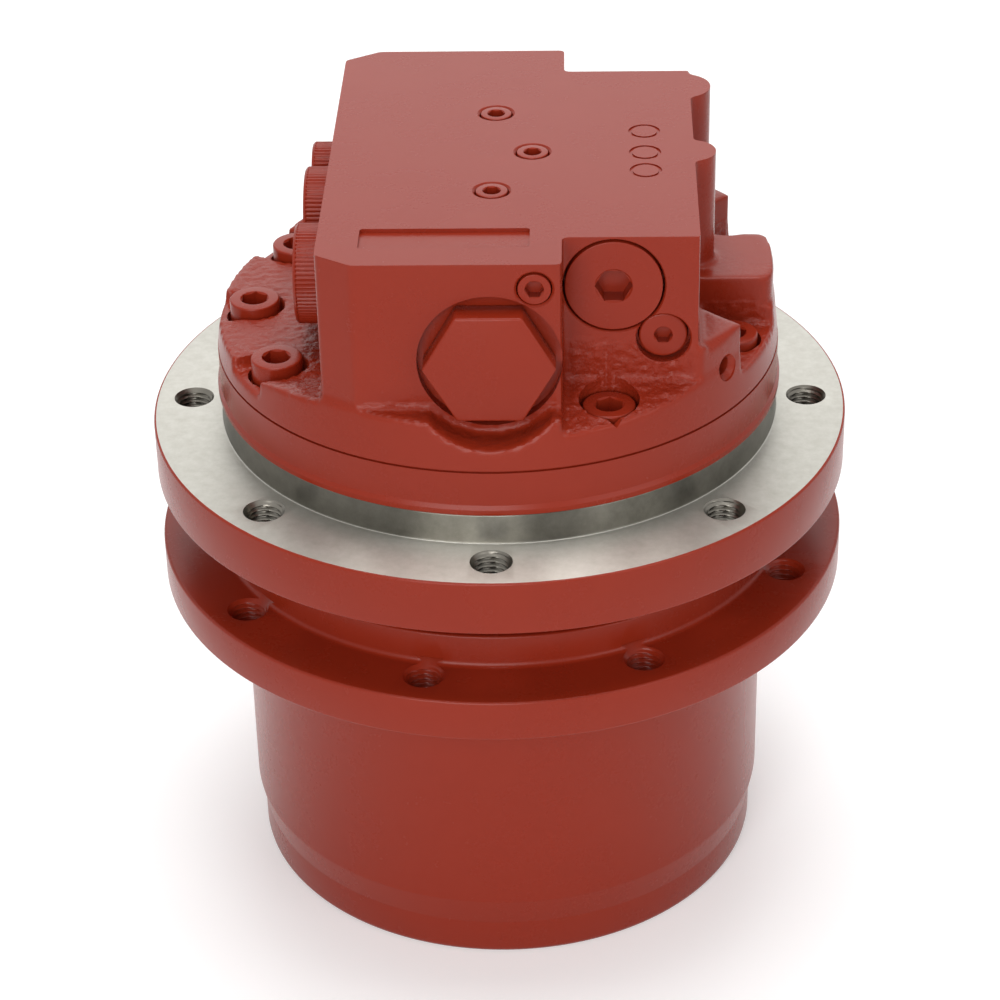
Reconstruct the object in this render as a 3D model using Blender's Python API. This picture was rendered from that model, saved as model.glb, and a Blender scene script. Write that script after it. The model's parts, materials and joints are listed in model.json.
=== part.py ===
"""Excavator final drive: a travel motor with a two-stage planetary reducer.

The drive stands on the nose of its hub, with its axis along +Z. The spindle and the valve
casing are bolted to the track frame and stay still. The hub carries the sprocket and turns
on two tapered roller bearings, driven by the planets that run in its ring gear. All lengths
are in metres, written as millimetres times MM.
"""

import math

import bmesh
import bpy
from mathutils import Matrix, Vector

MM = 0.001
DEG = math.pi / 180.0

# Clearances and facets shared by all the pieces
SEAT_GAP = 0.3 * MM
RUN_GAP = 0.8 * MM
CUT_OVER = 1.5 * MM
CHORD_ERROR = 0.7 * MM
MERGE_DISTANCE = 0.001 * MM
LEAST_SEGMENTS = 8
OUTSIDE_SEGMENTS = 32
INSIDE_SEGMENTS = 20
SHARP_ANGLE = 32 * DEG

# Hub, with the sprocket flange and the ring gear
HUB_NOSE_RADIUS = 85 * MM
HUB_NOSE_HEIGHT = 13 * MM
HUB_TAPER_HEIGHT = 10 * MM
HUB_BODY_RADIUS = 87 * MM
HUB_NOSE_CHAMFER = 2.5 * MM
FLANGE_CHAMFER = 0.8 * MM
SPROCKET_FLANGE_RADIUS = 112.5 * MM
SPROCKET_FLANGE_BASE = 107 * MM
SPROCKET_FLANGE_THICKNESS = 14 * MM
SPROCKET_BOLT_COUNT = 9
SPROCKET_BOLT_EDGE = 12.5 * MM
SPROCKET_BOLT_START = 27.5 * DEG
HUB_NECK_RADIUS = 93 * MM
HUB_NECK_HEIGHT = 11 * MM
HUB_SHOULDER_RADIUS = 73.5 * MM

# Frame flange and spindle
FRAME_FLANGE_RADIUS = 112.5 * MM
FRAME_FLANGE_BASE = 146 * MM
FRAME_FLANGE_THICKNESS = 18 * MM
FRAME_BOLT_COUNT = 8
FRAME_BOLT_EDGE = 12.5 * MM
SPIGOT_TO_HOLES = 4 * MM
SPIGOT_HEIGHT = 10 * MM
LABYRINTH_GAP = 2 * MM
SKIRT_RADIUS = 90.5 * MM
SPINDLE_NECK_RADIUS = 63 * MM
END_PLATE_THICKNESS = 18 * MM
MOTOR_BORE_RADIUS = 47 * MM
TAPPED_HOLE_RADIUS = 6 * MM

# Two planetary stages that share one ring gear
GEAR_MODULE = 2.75 * MM
PRESSURE_ANGLE = 20 * DEG
RING_FLANK_GAP = 0.22 * MM
SUN_FLANK_GAP = -0.2 * MM
ADDENDUM_SHARE = 0.92
DEDENDUM_SHARE = 1.25
RING_TEETH = 50
SUN_1_TEETH = 10
PLANET_1_TEETH = 20
SUN_2_TEETH = 16
PLANET_2_TEETH = 17
PLANETS_PER_STAGE = 3
STAGE_1_FACE = 14 * MM
STAGE_2_FACE = 20 * MM
STAGE_1_START = 30 * DEG
STAGE_2_START = 90 * DEG
STAGE_GAP = 1.5 * MM
COVER_TO_GEARS = 4 * MM
CARRIER_THICKNESS = 9 * MM
CARRIER_RADIUS = 55 * MM
CARRIER_PIN_RADIUS = 8 * MM
PLANET_PIN_RADIUS = 9 * MM
PLANET_PIN_DEPTH = 14 * MM
SUN_2_BORE_RADIUS = 11.5 * MM

# End cover at the nose of the hub
COVER_RING_INSET = 1.7 * MM
COVER_RING_THICKNESS = 2 * MM
COVER_RING_DEPTH = 2 * MM
COVER_RING_WIDTH = 5 * MM
COVER_THICKNESS = 9 * MM
COVER_RADIUS = 76 * MM
COVER_DISH_RADIUS = 26 * MM
COVER_DISH_DEPTH = 2 * MM
OIL_PLUG_CIRCLE = 48 * MM
OIL_PLUG_RADIUS = 9 * MM
OIL_PLUG_SEAT_RADIUS = 12 * MM
OIL_PLUG_SEAT_DEPTH = 3 * MM
OIL_PLUG_SOCKET = 4 * MM

# Main bearings, two tapered roller bearings, and their nut
BEARING_BASE = 84.3 * MM
BEARING_INNER_RADIUS = 58 * MM
BEARING_OUTER_RADIUS = 76 * MM
BEARING_WIDTH = 17 * MM
ROLLER_COUNT = 12
ROLLER_RADIUS = 4.2 * MM
ROLLER_LENGTH = 11 * MM
ROLLER_TAPER = 0.2
ROLLER_FLAT_SHARE = 0.5
RACE_RIB = 2.2 * MM
CAGE_THICKNESS = 2 * MM
BEARING_NUT_HEIGHT = 9 * MM
BEARING_NUT_RADIUS = 67 * MM
BEARING_NUT_SLOTS = 4
BEARING_NUT_SLOT_WIDTH = 8 * MM
BEARING_NUT_SLOT_DEPTH = 3 * MM

# Floating seal between hub and spindle
SEAL_BORE_RADIUS = 79.2 * MM
SEAL_POCKET_DEPTH = 9.3 * MM
SEAL_RING_INNER_RADIUS = 67 * MM
SEAL_RING_OUTER_RADIUS = 74 * MM
SEAL_RING_SHARE_OF_LIP = 0.35

# Drive shaft and the parts on it
SHAFT_LOWER_RADIUS = 9.5 * MM
SHAFT_JOURNAL_RADIUS = 10 * MM
SHAFT_SPLINE_RADIUS = 12 * MM
SHAFT_SPLINE_TEETH = 8
SHAFT_SPLINE_DEPTH = 1.2 * MM
SHAFT_TOP_BEARING_LENGTH = 12 * MM
NEEDLE_BEARING_RADIUS = 16 * MM
NEEDLE_BEARING_LENGTH = 8 * MM
SEAL_LIP_RADIUS = 15 * MM
SHAFT_SEAL_LENGTH = 6 * MM
END_PLATE_WEB = 2 * MM
SHAFT_HOLE_RADIUS = 12 * MM

# Swash plate, cylinder block and valve plate
SWASH_RADIUS = 44 * MM
SWASH_TILT = 14 * DEG
SWASH_MEAN_HEIGHT = 14 * MM
SWASH_BORE_RADIUS = 15 * MM
PISTON_COUNT = 7
PISTON_CIRCLE = 27 * MM
PISTON_RADIUS = 6.5 * MM
PISTON_END_LENGTH = 2 * MM
SLIPPER_RADIUS = 7 * MM
SLIPPER_HEIGHT = 3 * MM
SLIPPER_NECK_RADIUS = 4 * MM
SLIPPER_NECK_HEIGHT = 5 * MM
RETAINER_INNER_RADIUS = 18 * MM
RETAINER_OUTER_RADIUS = 36 * MM
RETAINER_THICKNESS = 2.5 * MM
BLOCK_RADIUS = 40 * MM
BLOCK_CLEAR_OF_SLIPPERS = 4 * MM
VALVE_PLATE_RADIUS = 36 * MM
VALVE_PLATE_THICKNESS = 4 * MM
VALVE_PLATE_BELOW_JOINT = 2 * MM
KIDNEY_WIDTH = 7 * MM
KIDNEY_HALF_ANGLE = 65 * DEG
KIDNEY_STEPS = 6

# Parking brake
BRAKE_FLOOR = 150 * MM
FRICTION_PLATE_THICKNESS = 3 * MM
FRICTION_PLATE_RADIUS = 56 * MM
BRAKE_LOWER_BORE_RADIUS = 58 * MM
BRAKE_UPPER_BORE_RADIUS = 62 * MM
BRAKE_STEP_HEIGHT = 160 * MM
BRAKE_PISTON_HEIGHT = 14 * MM
BRAKE_PISTON_BORE_RADIUS = 43 * MM
BRAKE_SPRING_INNER_RADIUS = 47 * MM
BRAKE_SPRING_THICKNESS = 2 * MM

# Valve casing: turned foot, cast band and block
CASING_FOOT_OVERHANG = 0.9 * MM
CASING_FOOT_HEIGHT = 14.7 * MM
CASING_BAND_INSET = 0.9 * MM
CASING_BAND_DRAFT = 1.5 * MM
CASING_BAND_HEIGHT = 15 * MM
BLOCK_ABOVE_SPOOL = 32 * MM
BLOCK_LEFT = 51 * MM
BLOCK_LEFT_DEEP = 71 * MM
BLOCK_CHAMFER_X = 40 * MM
BLOCK_DEEP = 78 * MM
BLOCK_STEP_X = 21.5 * MM
BLOCK_SHALLOW = 60.5 * MM
BLOCK_RIGHT = 62.3 * MM
SIDE_BOSS_RADIUS = 7.6 * MM
SIDE_BOSS_REACH = 6.8 * MM
SIDE_BOSS_Y = -1 * MM
CORNER_BOSS_RADIUS = 9.5 * MM
CORNER_BOSS_Y = 48.5 * MM
SIDE_LUG_HEIGHT = 10.5 * MM
SIDE_LUG_HALF_WIDTH = 14.5 * MM
SIDE_LUG_INSET = 0.5 * MM
BACK_LAND_START = 118 * DEG
BACK_LAND_END = 130 * DEG
GUSSET_HEIGHT = 8 * MM
GUSSET_REACH = 8 * MM
SLANT_DIRECTION = 53.5 * DEG
SLANT_WIDTH = 21 * MM
SLANT_RUN = 13 * MM
SLANT_DROP = 12 * MM
SLANT_HOLE_RADIUS = 2.6 * MM
SLANT_HOLE_DEPTH = 7 * MM
SLANT_HOLE_SHARE = 0.42

# Screws that hold the casing on the spindle
CASING_BOLT_EDGE = 12 * MM
CASING_BOLT_ANGLES = (27 * DEG, 72 * DEG, 108 * DEG, 153 * DEG, -120 * DEG, -90 * DEG, -60 * DEG)
BOLT_HEAD_RADIUS = 8 * MM
BOLT_HEAD_HEIGHT = 10 * MM
BOLT_SHANK_RADIUS = 5 * MM
BOLT_LENGTH = 32 * MM
BOLT_SOCKET_RADIUS = 4.6 * MM
BOLT_SOCKET_DEPTH = 5 * MM
BOLT_POCKET_GAP = 1.4 * MM
BOLT_SEAT_HEIGHT = 16 * MM

# Spool bore with its two hexagon plugs
SPOOL_ABOVE_BAND = 16 * MM
SPOOL_RADIUS = 9 * MM
SPOOL_WAIST_RADIUS = 6 * MM
SPOOL_HALF_LENGTH = 44 * MM
SPOOL_GROOVE_WIDTH = 8 * MM
HEX_PLUG_ACROSS_FLATS = 36 * MM
HEX_PLUG_PROUD = 4 * MM
HEX_PLUG_HEAD = 9 * MM
HEX_PLUG_SHANK_RADIUS = 15 * MM
HEX_PLUG_SHANK_LENGTH = 16 * MM
HEX_COUNTERBORE_RADIUS = 21.6 * MM
HEX_NOTCH_RADIUS = 24.3 * MM
SPRING_CHAMBER_GAP = 4 * MM

# Round plugs and small plugs
RELIEF_X = 36.8 * MM
RELIEF_BELOW_TOP = 16.3 * MM
RELIEF_RADIUS = 14.6 * MM
RELIEF_RING_GAP = 0.7 * MM
RELIEF_HEAD_DEPTH = 10 * MM
RELIEF_SHANK_RADIUS = 9 * MM
RELIEF_LENGTH = 34 * MM
RELIEF_SOCKET_RADIUS = 5.7 * MM
RELIEF_SOCKET_DEPTH = 6 * MM
GAUGE_X = 51.7 * MM
GAUGE_BELOW_RELIEF = 17.7 * MM
GAUGE_RADIUS = 7.3 * MM
GAUGE_PROUD = 2 * MM
GAUGE_LENGTH = 14 * MM
GAUGE_SOCKET_RADIUS = 2.9 * MM
ORIFICE_X = 13.5 * MM
ORIFICE_BELOW_TOP = 8.2 * MM
SMALL_PLUG_RADIUS = 5 * MM
SMALL_PLUG_LENGTH = 8 * MM
SMALL_PLUG_SOCKET_RADIUS = 2.9 * MM
SMALL_PLUG_SOCKET_DEPTH = 3.5 * MM
SMALL_PLUG_THREAD_STEP = 0.6 * MM
GALLERY_PLACES = ((0.0, 28 * MM), (12 * MM, -1 * MM), (0.0, -28.5 * MM))
GALLERY_DRILL_RADIUS = 3 * MM
CAST_RECESS_LEFT = -38.5 * MM
CAST_RECESS_RIGHT = 12 * MM
CAST_RECESS_NEAR = -67 * MM
CAST_RECESS_FAR = -54.3 * MM
CAST_RECESS_DEPTH = 1.2 * MM
ROUND_MARK_X = 47 * MM
ROUND_MARK_Y = (-15 * MM, -2 * MM, 13.6 * MM)
ROUND_MARK_RADIUS = 5 * MM
ROUND_MARK_DEPTH = 0.4 * MM

# Ports on the left and their knurled caps
PORT_HALF_PITCH = 20.5 * MM
PORT_RADIUS = 10 * MM
PORT_DEPTH = 22 * MM
PASSAGE_RADIUS = 6 * MM
PORT_CAP_RADIUS = 15.6 * MM
PORT_CAP_THICKNESS = 9.5 * MM
PORT_PLUG_LENGTH = 12 * MM
DRAIN_Y = 50.5 * MM
DRAIN_RADIUS = 6 * MM
DRAIN_DEPTH = 24 * MM
DRAIN_CAP_RADIUS = 11 * MM
KNURL_DEPTH = 0.5 * MM
KNURL_RIDGES = 18
DRAIN_KNURL_RIDGES = 12

# Heights and radii worked out from the sizes above
HUB_NECK_TOP = SPROCKET_FLANGE_BASE + SPROCKET_FLANGE_THICKNESS + HUB_NECK_HEIGHT
COVER_BASE = COVER_RING_INSET + COVER_RING_THICKNESS + SEAT_GAP
COVER_TOP = COVER_BASE + COVER_THICKNESS
STAGE_1_BASE = COVER_TOP + COVER_TO_GEARS
STAGE_1_TOP = STAGE_1_BASE + STAGE_1_FACE
CARRIER_BASE = STAGE_1_TOP + STAGE_GAP
CARRIER_TOP = CARRIER_BASE + CARRIER_THICKNESS
STAGE_2_BASE = CARRIER_TOP + STAGE_GAP
STAGE_2_TOP = STAGE_2_BASE + STAGE_2_FACE
SPINDLE_BASE = STAGE_2_TOP + STAGE_GAP
CAVITY_FLOOR = SPINDLE_BASE + END_PLATE_THICKNESS
FRAME_FLANGE_TOP = FRAME_FLANGE_BASE + FRAME_FLANGE_THICKNESS
SPIGOT_TOP = FRAME_FLANGE_TOP + SPIGOT_HEIGHT
SKIRT_BASE = HUB_NECK_TOP + LABYRINTH_GAP
SEAL_PLANE = HUB_NECK_TOP + LABYRINTH_GAP / 2
BEARING_TOP = BEARING_BASE + 2 * BEARING_WIDTH + SEAT_GAP
ROLLER_CIRCLE = (BEARING_INNER_RADIUS + BEARING_OUTER_RADIUS) / 2
SPINDLE_SEAT_RADIUS = BEARING_INNER_RADIUS - SEAT_GAP
SWASH_BASE = CAVITY_FLOOR + SEAT_GAP
SWASH_CENTRE = SWASH_BASE + SWASH_MEAN_HEIGHT
SLIPPER_TOP = SLIPPER_HEIGHT + SLIPPER_NECK_HEIGHT + SEAT_GAP
BLOCK_BASE = (
    SWASH_CENTRE
    + RETAINER_OUTER_RADIUS * math.tan(SWASH_TILT)
    + SLIPPER_TOP / math.cos(SWASH_TILT)
    + BLOCK_CLEAR_OF_SLIPPERS
)
CASING_BASE = SPIGOT_TOP + SEAT_GAP
VALVE_PLATE_BASE = SPIGOT_TOP - VALVE_PLATE_BELOW_JOINT
VALVE_PLATE_TOP = VALVE_PLATE_BASE + VALVE_PLATE_THICKNESS
BLOCK_END = VALVE_PLATE_BASE - SEAT_GAP
TOP_BEARING_BASE = VALVE_PLATE_TOP + RUN_GAP
TOP_BEARING_TOP = TOP_BEARING_BASE + SHAFT_TOP_BEARING_LENGTH
SHAFT_TOP = TOP_BEARING_TOP - RUN_GAP
FOOT_TOP = CASING_BASE + CASING_FOOT_HEIGHT
BAND_TOP = FOOT_TOP + CASING_BAND_HEIGHT
BOLT_SEAT = CASING_BASE + BOLT_SEAT_HEIGHT
SIDE_LUG_TOP = BAND_TOP + SIDE_LUG_HEIGHT
SPOOL_HEIGHT = BAND_TOP + SPOOL_ABOVE_BAND
BLOCK_TOP = SPOOL_HEIGHT + BLOCK_ABOVE_SPOOL
RELIEF_HEIGHT = BLOCK_TOP - RELIEF_BELOW_TOP
GAUGE_HEIGHT = RELIEF_HEIGHT - GAUGE_BELOW_RELIEF
ORIFICE_HEIGHT = BLOCK_TOP - ORIFICE_BELOW_TOP
SPROCKET_BOLT_CIRCLE = SPROCKET_FLANGE_RADIUS - SPROCKET_BOLT_EDGE
FRAME_BOLT_CIRCLE = FRAME_FLANGE_RADIUS - FRAME_BOLT_EDGE
SPIGOT_RADIUS = FRAME_BOLT_CIRCLE - TAPPED_HOLE_RADIUS - SPIGOT_TO_HOLES
CASING_FOOT_RADIUS = SPIGOT_RADIUS + CASING_FOOT_OVERHANG
CASING_BAND_RADIUS = CASING_FOOT_RADIUS - CASING_BAND_INSET
CASING_BAND_TOP_RADIUS = CASING_BAND_RADIUS - CASING_BAND_DRAFT
CASING_BOLT_CIRCLE = SPIGOT_RADIUS - CASING_BOLT_EDGE
SIDE_LUG_RADIUS = CASING_BAND_TOP_RADIUS - SIDE_LUG_INSET
SLANT_INNER_RADIUS = CASING_BAND_RADIUS - SLANT_RUN
BOLT_POCKET_RADIUS = BOLT_HEAD_RADIUS + BOLT_POCKET_GAP
RING_PITCH_RADIUS = GEAR_MODULE * RING_TEETH / 2
STAGE_1_CENTRE = GEAR_MODULE * (SUN_1_TEETH + PLANET_1_TEETH) / 2
STAGE_2_CENTRE = GEAR_MODULE * (SUN_2_TEETH + PLANET_2_TEETH) / 2

# Paint and metals: colour, roughness, metallic
RED_PAINT = ((0.305, 0.052, 0.038), 0.42, 0.0)
BARE_STEEL = ((0.42, 0.42, 0.40), 0.32, 1.0)
GROUND_STEEL = ((0.55, 0.55, 0.54), 0.2, 1.0)
BRONZE = ((0.47, 0.27, 0.10), 0.35, 1.0)
BLACK_RUBBER = ((0.015, 0.015, 0.015), 0.75, 0.0)
SPRING_STEEL = ((0.16, 0.16, 0.17), 0.4, 1.0)
FRICTION_LINING = ((0.09, 0.06, 0.04), 0.85, 0.0)


def clear_scene():
    """Remove what is in the scene, so that the model stands alone."""
    for old in list(bpy.data.objects):
        bpy.data.objects.remove(old, do_unlink=True)


def segments(radius):
    """An even count of facets that keeps a round within the chord error."""
    fine = math.pi / math.sqrt(2 * CHORD_ERROR / radius)
    return min(INSIDE_SEGMENTS, max(LEAST_SEGMENTS, 2 * math.ceil(fine / 2)))


def clear_of(radius, gap, count):
    """Corner radius of a bore whose flats keep a gap to a round that turns in it."""
    return (radius + gap) / math.cos(math.pi / count)


def finish(shape):
    """Merge doubled points, turn the faces outwards and give back a mesh."""
    bmesh.ops.remove_doubles(shape, verts=shape.verts, dist=MERGE_DISTANCE)
    bmesh.ops.recalc_face_normals(shape, faces=shape.faces)
    mesh = bpy.data.meshes.new("shape")
    shape.to_mesh(mesh)
    shape.free()
    mesh.shade_smooth()
    mesh.set_sharp_from_angle(angle=SHARP_ANGLE)
    return mesh


def turned(profile, count=None):
    """Spin a closed profile of (radius, height) points round the Z axis."""
    shape = bmesh.new()
    points = [shape.verts.new((radius, 0.0, height)) for radius, height in profile]
    for index, point in enumerate(points):
        shape.edges.new((points[index - 1], point))
    steps = count or segments(max(radius for radius, height in profile))
    bmesh.ops.spin(
        shape,
        geom=shape.verts[:] + shape.edges[:],
        cent=(0.0, 0.0, 0.0),
        axis=(0.0, 0.0, 1.0),
        angle=2 * math.pi,
        steps=steps,
        use_merge=True,
    )
    bmesh.ops.remove_doubles(shape, verts=shape.verts, dist=MERGE_DISTANCE)
    loose = [edge for edge in shape.edges if not edge.link_faces]
    bmesh.ops.delete(shape, geom=loose, context="EDGES")
    on_axis = [vert for vert in shape.verts if vert.co.xy.length < MERGE_DISTANCE]
    bmesh.ops.dissolve_verts(shape, verts=on_axis)
    return finish(shape)


def disc(radius, low, high, bore=0.0, count=None):
    """A plain disc, or a ring where it has a bore."""
    return turned([(bore, low), (radius, low), (radius, high), (bore, high)], count)


def hole(radius, low, high):
    """A cutter for the hole of a piece with this radius, with the same facets."""
    return disc(radius + SEAT_GAP, low, high, count=segments(radius))


def prism(outline, low, high):
    """Extrude a closed outline of (x, y) points from one height to another."""
    shape = bmesh.new()
    base = shape.faces.new([shape.verts.new((x, y, low)) for x, y in outline])
    grown = bmesh.ops.extrude_face_region(shape, geom=[base])
    raised = [item for item in grown["geom"] if isinstance(item, bmesh.types.BMVert)]
    bmesh.ops.translate(shape, verts=raised, vec=(0.0, 0.0, high - low))
    return finish(shape)


def block(low, high):
    """A box between two corners."""
    outline = [(low[0], low[1]), (high[0], low[1]), (high[0], high[1]), (low[0], high[1])]
    return prism(outline, low[2], high[2])


def polygon(sides, radius, start=0.0):
    """The corners of a regular polygon."""
    angles = [start + 2 * math.pi * step / sides for step in range(sides)]
    return [(radius * math.cos(angle), radius * math.sin(angle)) for angle in angles]


def around(angle):
    """A turn about Z that takes -Y to this angle, counted from -Y towards +X."""
    return Matrix.Rotation(angle, 4, "Z")


def at(x, y, z):
    """A move without a turn."""
    return Matrix.Translation((x, y, z))


def polar(radius, angle):
    """A move to this radius and angle, counted from +X, without a turn."""
    return at(radius * math.cos(angle), radius * math.sin(angle), 0.0)


def facing(direction):
    """A turn that takes +Z to this direction."""
    return Vector(direction).to_track_quat("Z", "Y").to_matrix().to_4x4()


def moved(mesh, *places):
    """Copies of a mesh at these places, as one mesh."""
    shape = bmesh.new()
    for place in places:
        copy = mesh.copy()
        copy.transform(place)
        shape.from_mesh(copy)
        bpy.data.meshes.remove(copy)
    joined = bpy.data.meshes.new("copies")
    shape.to_mesh(joined)
    shape.free()
    return joined


def put(name, mesh, finish_of=None, location=(0.0, 0.0, 0.0), rotation=None, parent=None):
    """Make an object; one with a finish is a piece, one without is a cutter or a helper."""
    thing = bpy.data.objects.new(name, mesh)
    bpy.context.scene.collection.objects.link(thing)
    thing.location = location
    if rotation is not None:
        thing.rotation_euler = rotation
    if parent is not None:
        thing.parent = parent
    if finish_of is None:
        thing.hide_render = True
        thing.display_type = "WIRE"
        return thing
    colour, roughness, metallic = finish_of
    material = bpy.data.materials.new(name + "_finish")
    material.use_nodes = True
    shader = material.node_tree.nodes["Principled BSDF"]
    shader.inputs["Base Color"].default_value = (*colour, 1.0)
    shader.inputs["Roughness"].default_value = roughness
    shader.inputs["Metallic"].default_value = metallic
    material.diffuse_color = (*colour, 1.0)
    thing.data.materials.append(material)
    return thing


def combine(piece, mesh, label, operation):
    """Add a Boolean with a helper that has the piece's own place."""
    helper = put(f"{piece.name}_{label}", mesh)
    helper.location = piece.location
    helper.rotation_euler = piece.rotation_euler
    helper.parent = piece.parent
    step = piece.modifiers.new(label, "BOOLEAN")
    step.operation = operation
    step.object = helper
    step.solver = "EXACT"


def cut(piece, mesh, label):
    """Take a shape away from a piece."""
    combine(piece, mesh, label, "DIFFERENCE")


def add(piece, mesh, label):
    """Join a shape to a piece."""
    combine(piece, mesh, label, "UNION")


def involute(angle):
    """The involute function."""
    return math.tan(angle) - angle


def tooth_half_angle(teeth, radius, gap):
    """Half the angle that a tooth of the standard rack spans at this radius."""
    pitch = GEAR_MODULE * teeth / 2
    base = pitch * math.cos(PRESSURE_ANGLE)
    here = math.acos(min(1.0, base / radius))
    return math.pi / (2 * teeth) + involute(PRESSURE_ANGLE) - involute(here) + gap / pitch


def gear_outline(teeth, tip, root, gap, start):
    """An outline with four points a tooth: a gear, or the spaces of a ring gear."""
    outline = []
    for tooth in range(teeth):
        middle = start + 2 * math.pi * tooth / teeth
        at_tip = tooth_half_angle(teeth, tip, gap)
        at_root = tooth_half_angle(teeth, root, gap)
        for radius, offset in ((root, -at_root), (tip, -at_tip), (tip, at_tip), (root, at_root)):
            outline.append((radius * math.cos(middle + offset), radius * math.sin(middle + offset)))
    return outline


def gear(teeth, start=0.0, grown=0.0, flank_gap=RING_FLANK_GAP):
    """The outline of an outer gear; grown by a gap it is the spline hole for it."""
    pitch = GEAR_MODULE * teeth / 2
    tip = pitch + ADDENDUM_SHARE * GEAR_MODULE + grown
    root = pitch - DEDENDUM_SHARE * GEAR_MODULE + grown
    return gear_outline(teeth, tip, root, grown - flank_gap, start)


def planet_phase(place, teeth):
    """The turn that puts a planet's teeth in the spaces of the ring gear."""
    share = place * RING_TEETH / (2 * math.pi)
    return place - share * 2 * math.pi / teeth


def sun_phase(place, planet_teeth, sun_teeth):
    """The turn that puts a sun's teeth in the spaces of a planet at this place."""
    turn = planet_phase(place, planet_teeth)
    planet_share = (place + math.pi - turn) * planet_teeth / (2 * math.pi)
    return place - (1 / 2 - planet_share) * 2 * math.pi / sun_teeth


def stage_places(start):
    """The angles of the planets of one stage."""
    return [start + 2 * math.pi * index / PLANETS_PER_STAGE for index in range(PLANETS_PER_STAGE)]


def stepped_hole(head_radius, head_depth, shank_radius, depth):
    """A cutter for a stepped hole with its mouth at zero, open upwards."""
    return turned(
        [
            (0.0, -depth),
            (shank_radius + SEAT_GAP, -depth),
            (shank_radius + SEAT_GAP, -head_depth),
            (head_radius + SEAT_GAP, -head_depth),
            (head_radius + SEAT_GAP, CUT_OVER),
            (0.0, CUT_OVER),
        ],
        segments(head_radius),
    )


def socket_screw(head_radius, head_height, shank_radius, length, socket_radius, socket_depth):
    """A socket head screw, seat at zero and head up, made as a turned body with a socket."""
    body = turned(
        [
            (0.0, -length),
            (shank_radius, -length),
            (shank_radius, 0.0),
            (head_radius, 0.0),
            (head_radius, head_height),
            (0.0, head_height),
        ],
        segments(head_radius),
    )
    socket = prism(polygon(6, socket_radius), head_height - socket_depth, head_height + CUT_OVER)
    return body, socket


def place_plug(name, parts, place, finish_of):
    """Put a plug or screw with its socket cut, its axis turned to its place."""
    body, socket = parts
    plug = put(name, moved(body, place), finish_of)
    cut(plug, moved(socket, place), "socket")
    return plug


def build_hub():
    """Hub in one piece: nose, barrel, sprocket flange, neck, ring gear and bearing bore."""
    flange_top = SPROCKET_FLANGE_BASE + SPROCKET_FLANGE_THICKNESS
    outside = [
        (0.0, 0.0),
        (HUB_NOSE_RADIUS - HUB_NOSE_CHAMFER, 0.0),
        (HUB_NOSE_RADIUS, HUB_NOSE_CHAMFER),
        (HUB_NOSE_RADIUS, HUB_NOSE_HEIGHT),
        (HUB_BODY_RADIUS, HUB_NOSE_HEIGHT + HUB_TAPER_HEIGHT),
        (HUB_BODY_RADIUS, SPROCKET_FLANGE_BASE),
        (SPROCKET_FLANGE_RADIUS - FLANGE_CHAMFER, SPROCKET_FLANGE_BASE),
        (SPROCKET_FLANGE_RADIUS, SPROCKET_FLANGE_BASE + FLANGE_CHAMFER),
        (SPROCKET_FLANGE_RADIUS, flange_top - FLANGE_CHAMFER),
        (SPROCKET_FLANGE_RADIUS - FLANGE_CHAMFER, flange_top),
        (HUB_NECK_RADIUS, flange_top),
        (HUB_NECK_RADIUS, HUB_NECK_TOP),
        (0.0, HUB_NECK_TOP),
    ]
    hub = put("hub", turned(outside, OUTSIDE_SEGMENTS), RED_PAINT)
    cut(hub, hub_bore(), "stepped_bore")
    tip = RING_PITCH_RADIUS + DEDENDUM_SHARE * GEAR_MODULE
    root = RING_PITCH_RADIUS - ADDENDUM_SHARE * GEAR_MODULE
    spaces = gear_outline(RING_TEETH, tip, root, RING_FLANK_GAP, 0.0)
    cut(hub, prism(spaces, COVER_TOP, BEARING_BASE), "ring_gear")
    places = []
    for index in range(SPROCKET_BOLT_COUNT):
        angle = SPROCKET_BOLT_START + 2 * math.pi * index / SPROCKET_BOLT_COUNT
        places.append(around(angle) @ at(0.0, -SPROCKET_BOLT_CIRCLE, 0.0))
    low, high = SPROCKET_FLANGE_BASE - CUT_OVER, flange_top + CUT_OVER
    cut(hub, moved(disc(TAPPED_HOLE_RADIUS, low, high), *places), "sprocket_holes")


def hub_bore():
    """The turned inside of the hub, all but the part that the ring gear cutter opens."""
    bearing_bore = BEARING_OUTER_RADIUS + SEAT_GAP
    cover_bore = COVER_RADIUS + SEAT_GAP
    groove = cover_bore + COVER_RING_DEPTH
    shoulder = BEARING_BASE - SEAT_GAP
    seal_floor = HUB_NECK_TOP - SEAL_POCKET_DEPTH
    core = SUN_2_BORE_RADIUS
    profile = [
        (0.0, -CUT_OVER),
        (cover_bore, -CUT_OVER),
        (cover_bore, COVER_RING_INSET - SEAT_GAP),
        (groove, COVER_RING_INSET - SEAT_GAP),
        (groove, COVER_BASE),
        (cover_bore, COVER_BASE),
        (cover_bore, COVER_TOP + SEAT_GAP),
        (HUB_SHOULDER_RADIUS, COVER_TOP + SEAT_GAP),
        (HUB_SHOULDER_RADIUS, STAGE_1_BASE - RUN_GAP),
        (core, STAGE_1_BASE - RUN_GAP),
        (core, STAGE_2_TOP + RUN_GAP),
        (HUB_SHOULDER_RADIUS, STAGE_2_TOP + RUN_GAP),
        (HUB_SHOULDER_RADIUS, shoulder),
        (bearing_bore, shoulder),
        (bearing_bore, seal_floor),
        (SEAL_BORE_RADIUS, seal_floor),
        (SEAL_BORE_RADIUS, HUB_NECK_TOP + CUT_OVER),
        (0.0, HUB_NECK_TOP + CUT_OVER),
    ]
    return turned(profile, INSIDE_SEGMENTS)


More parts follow.
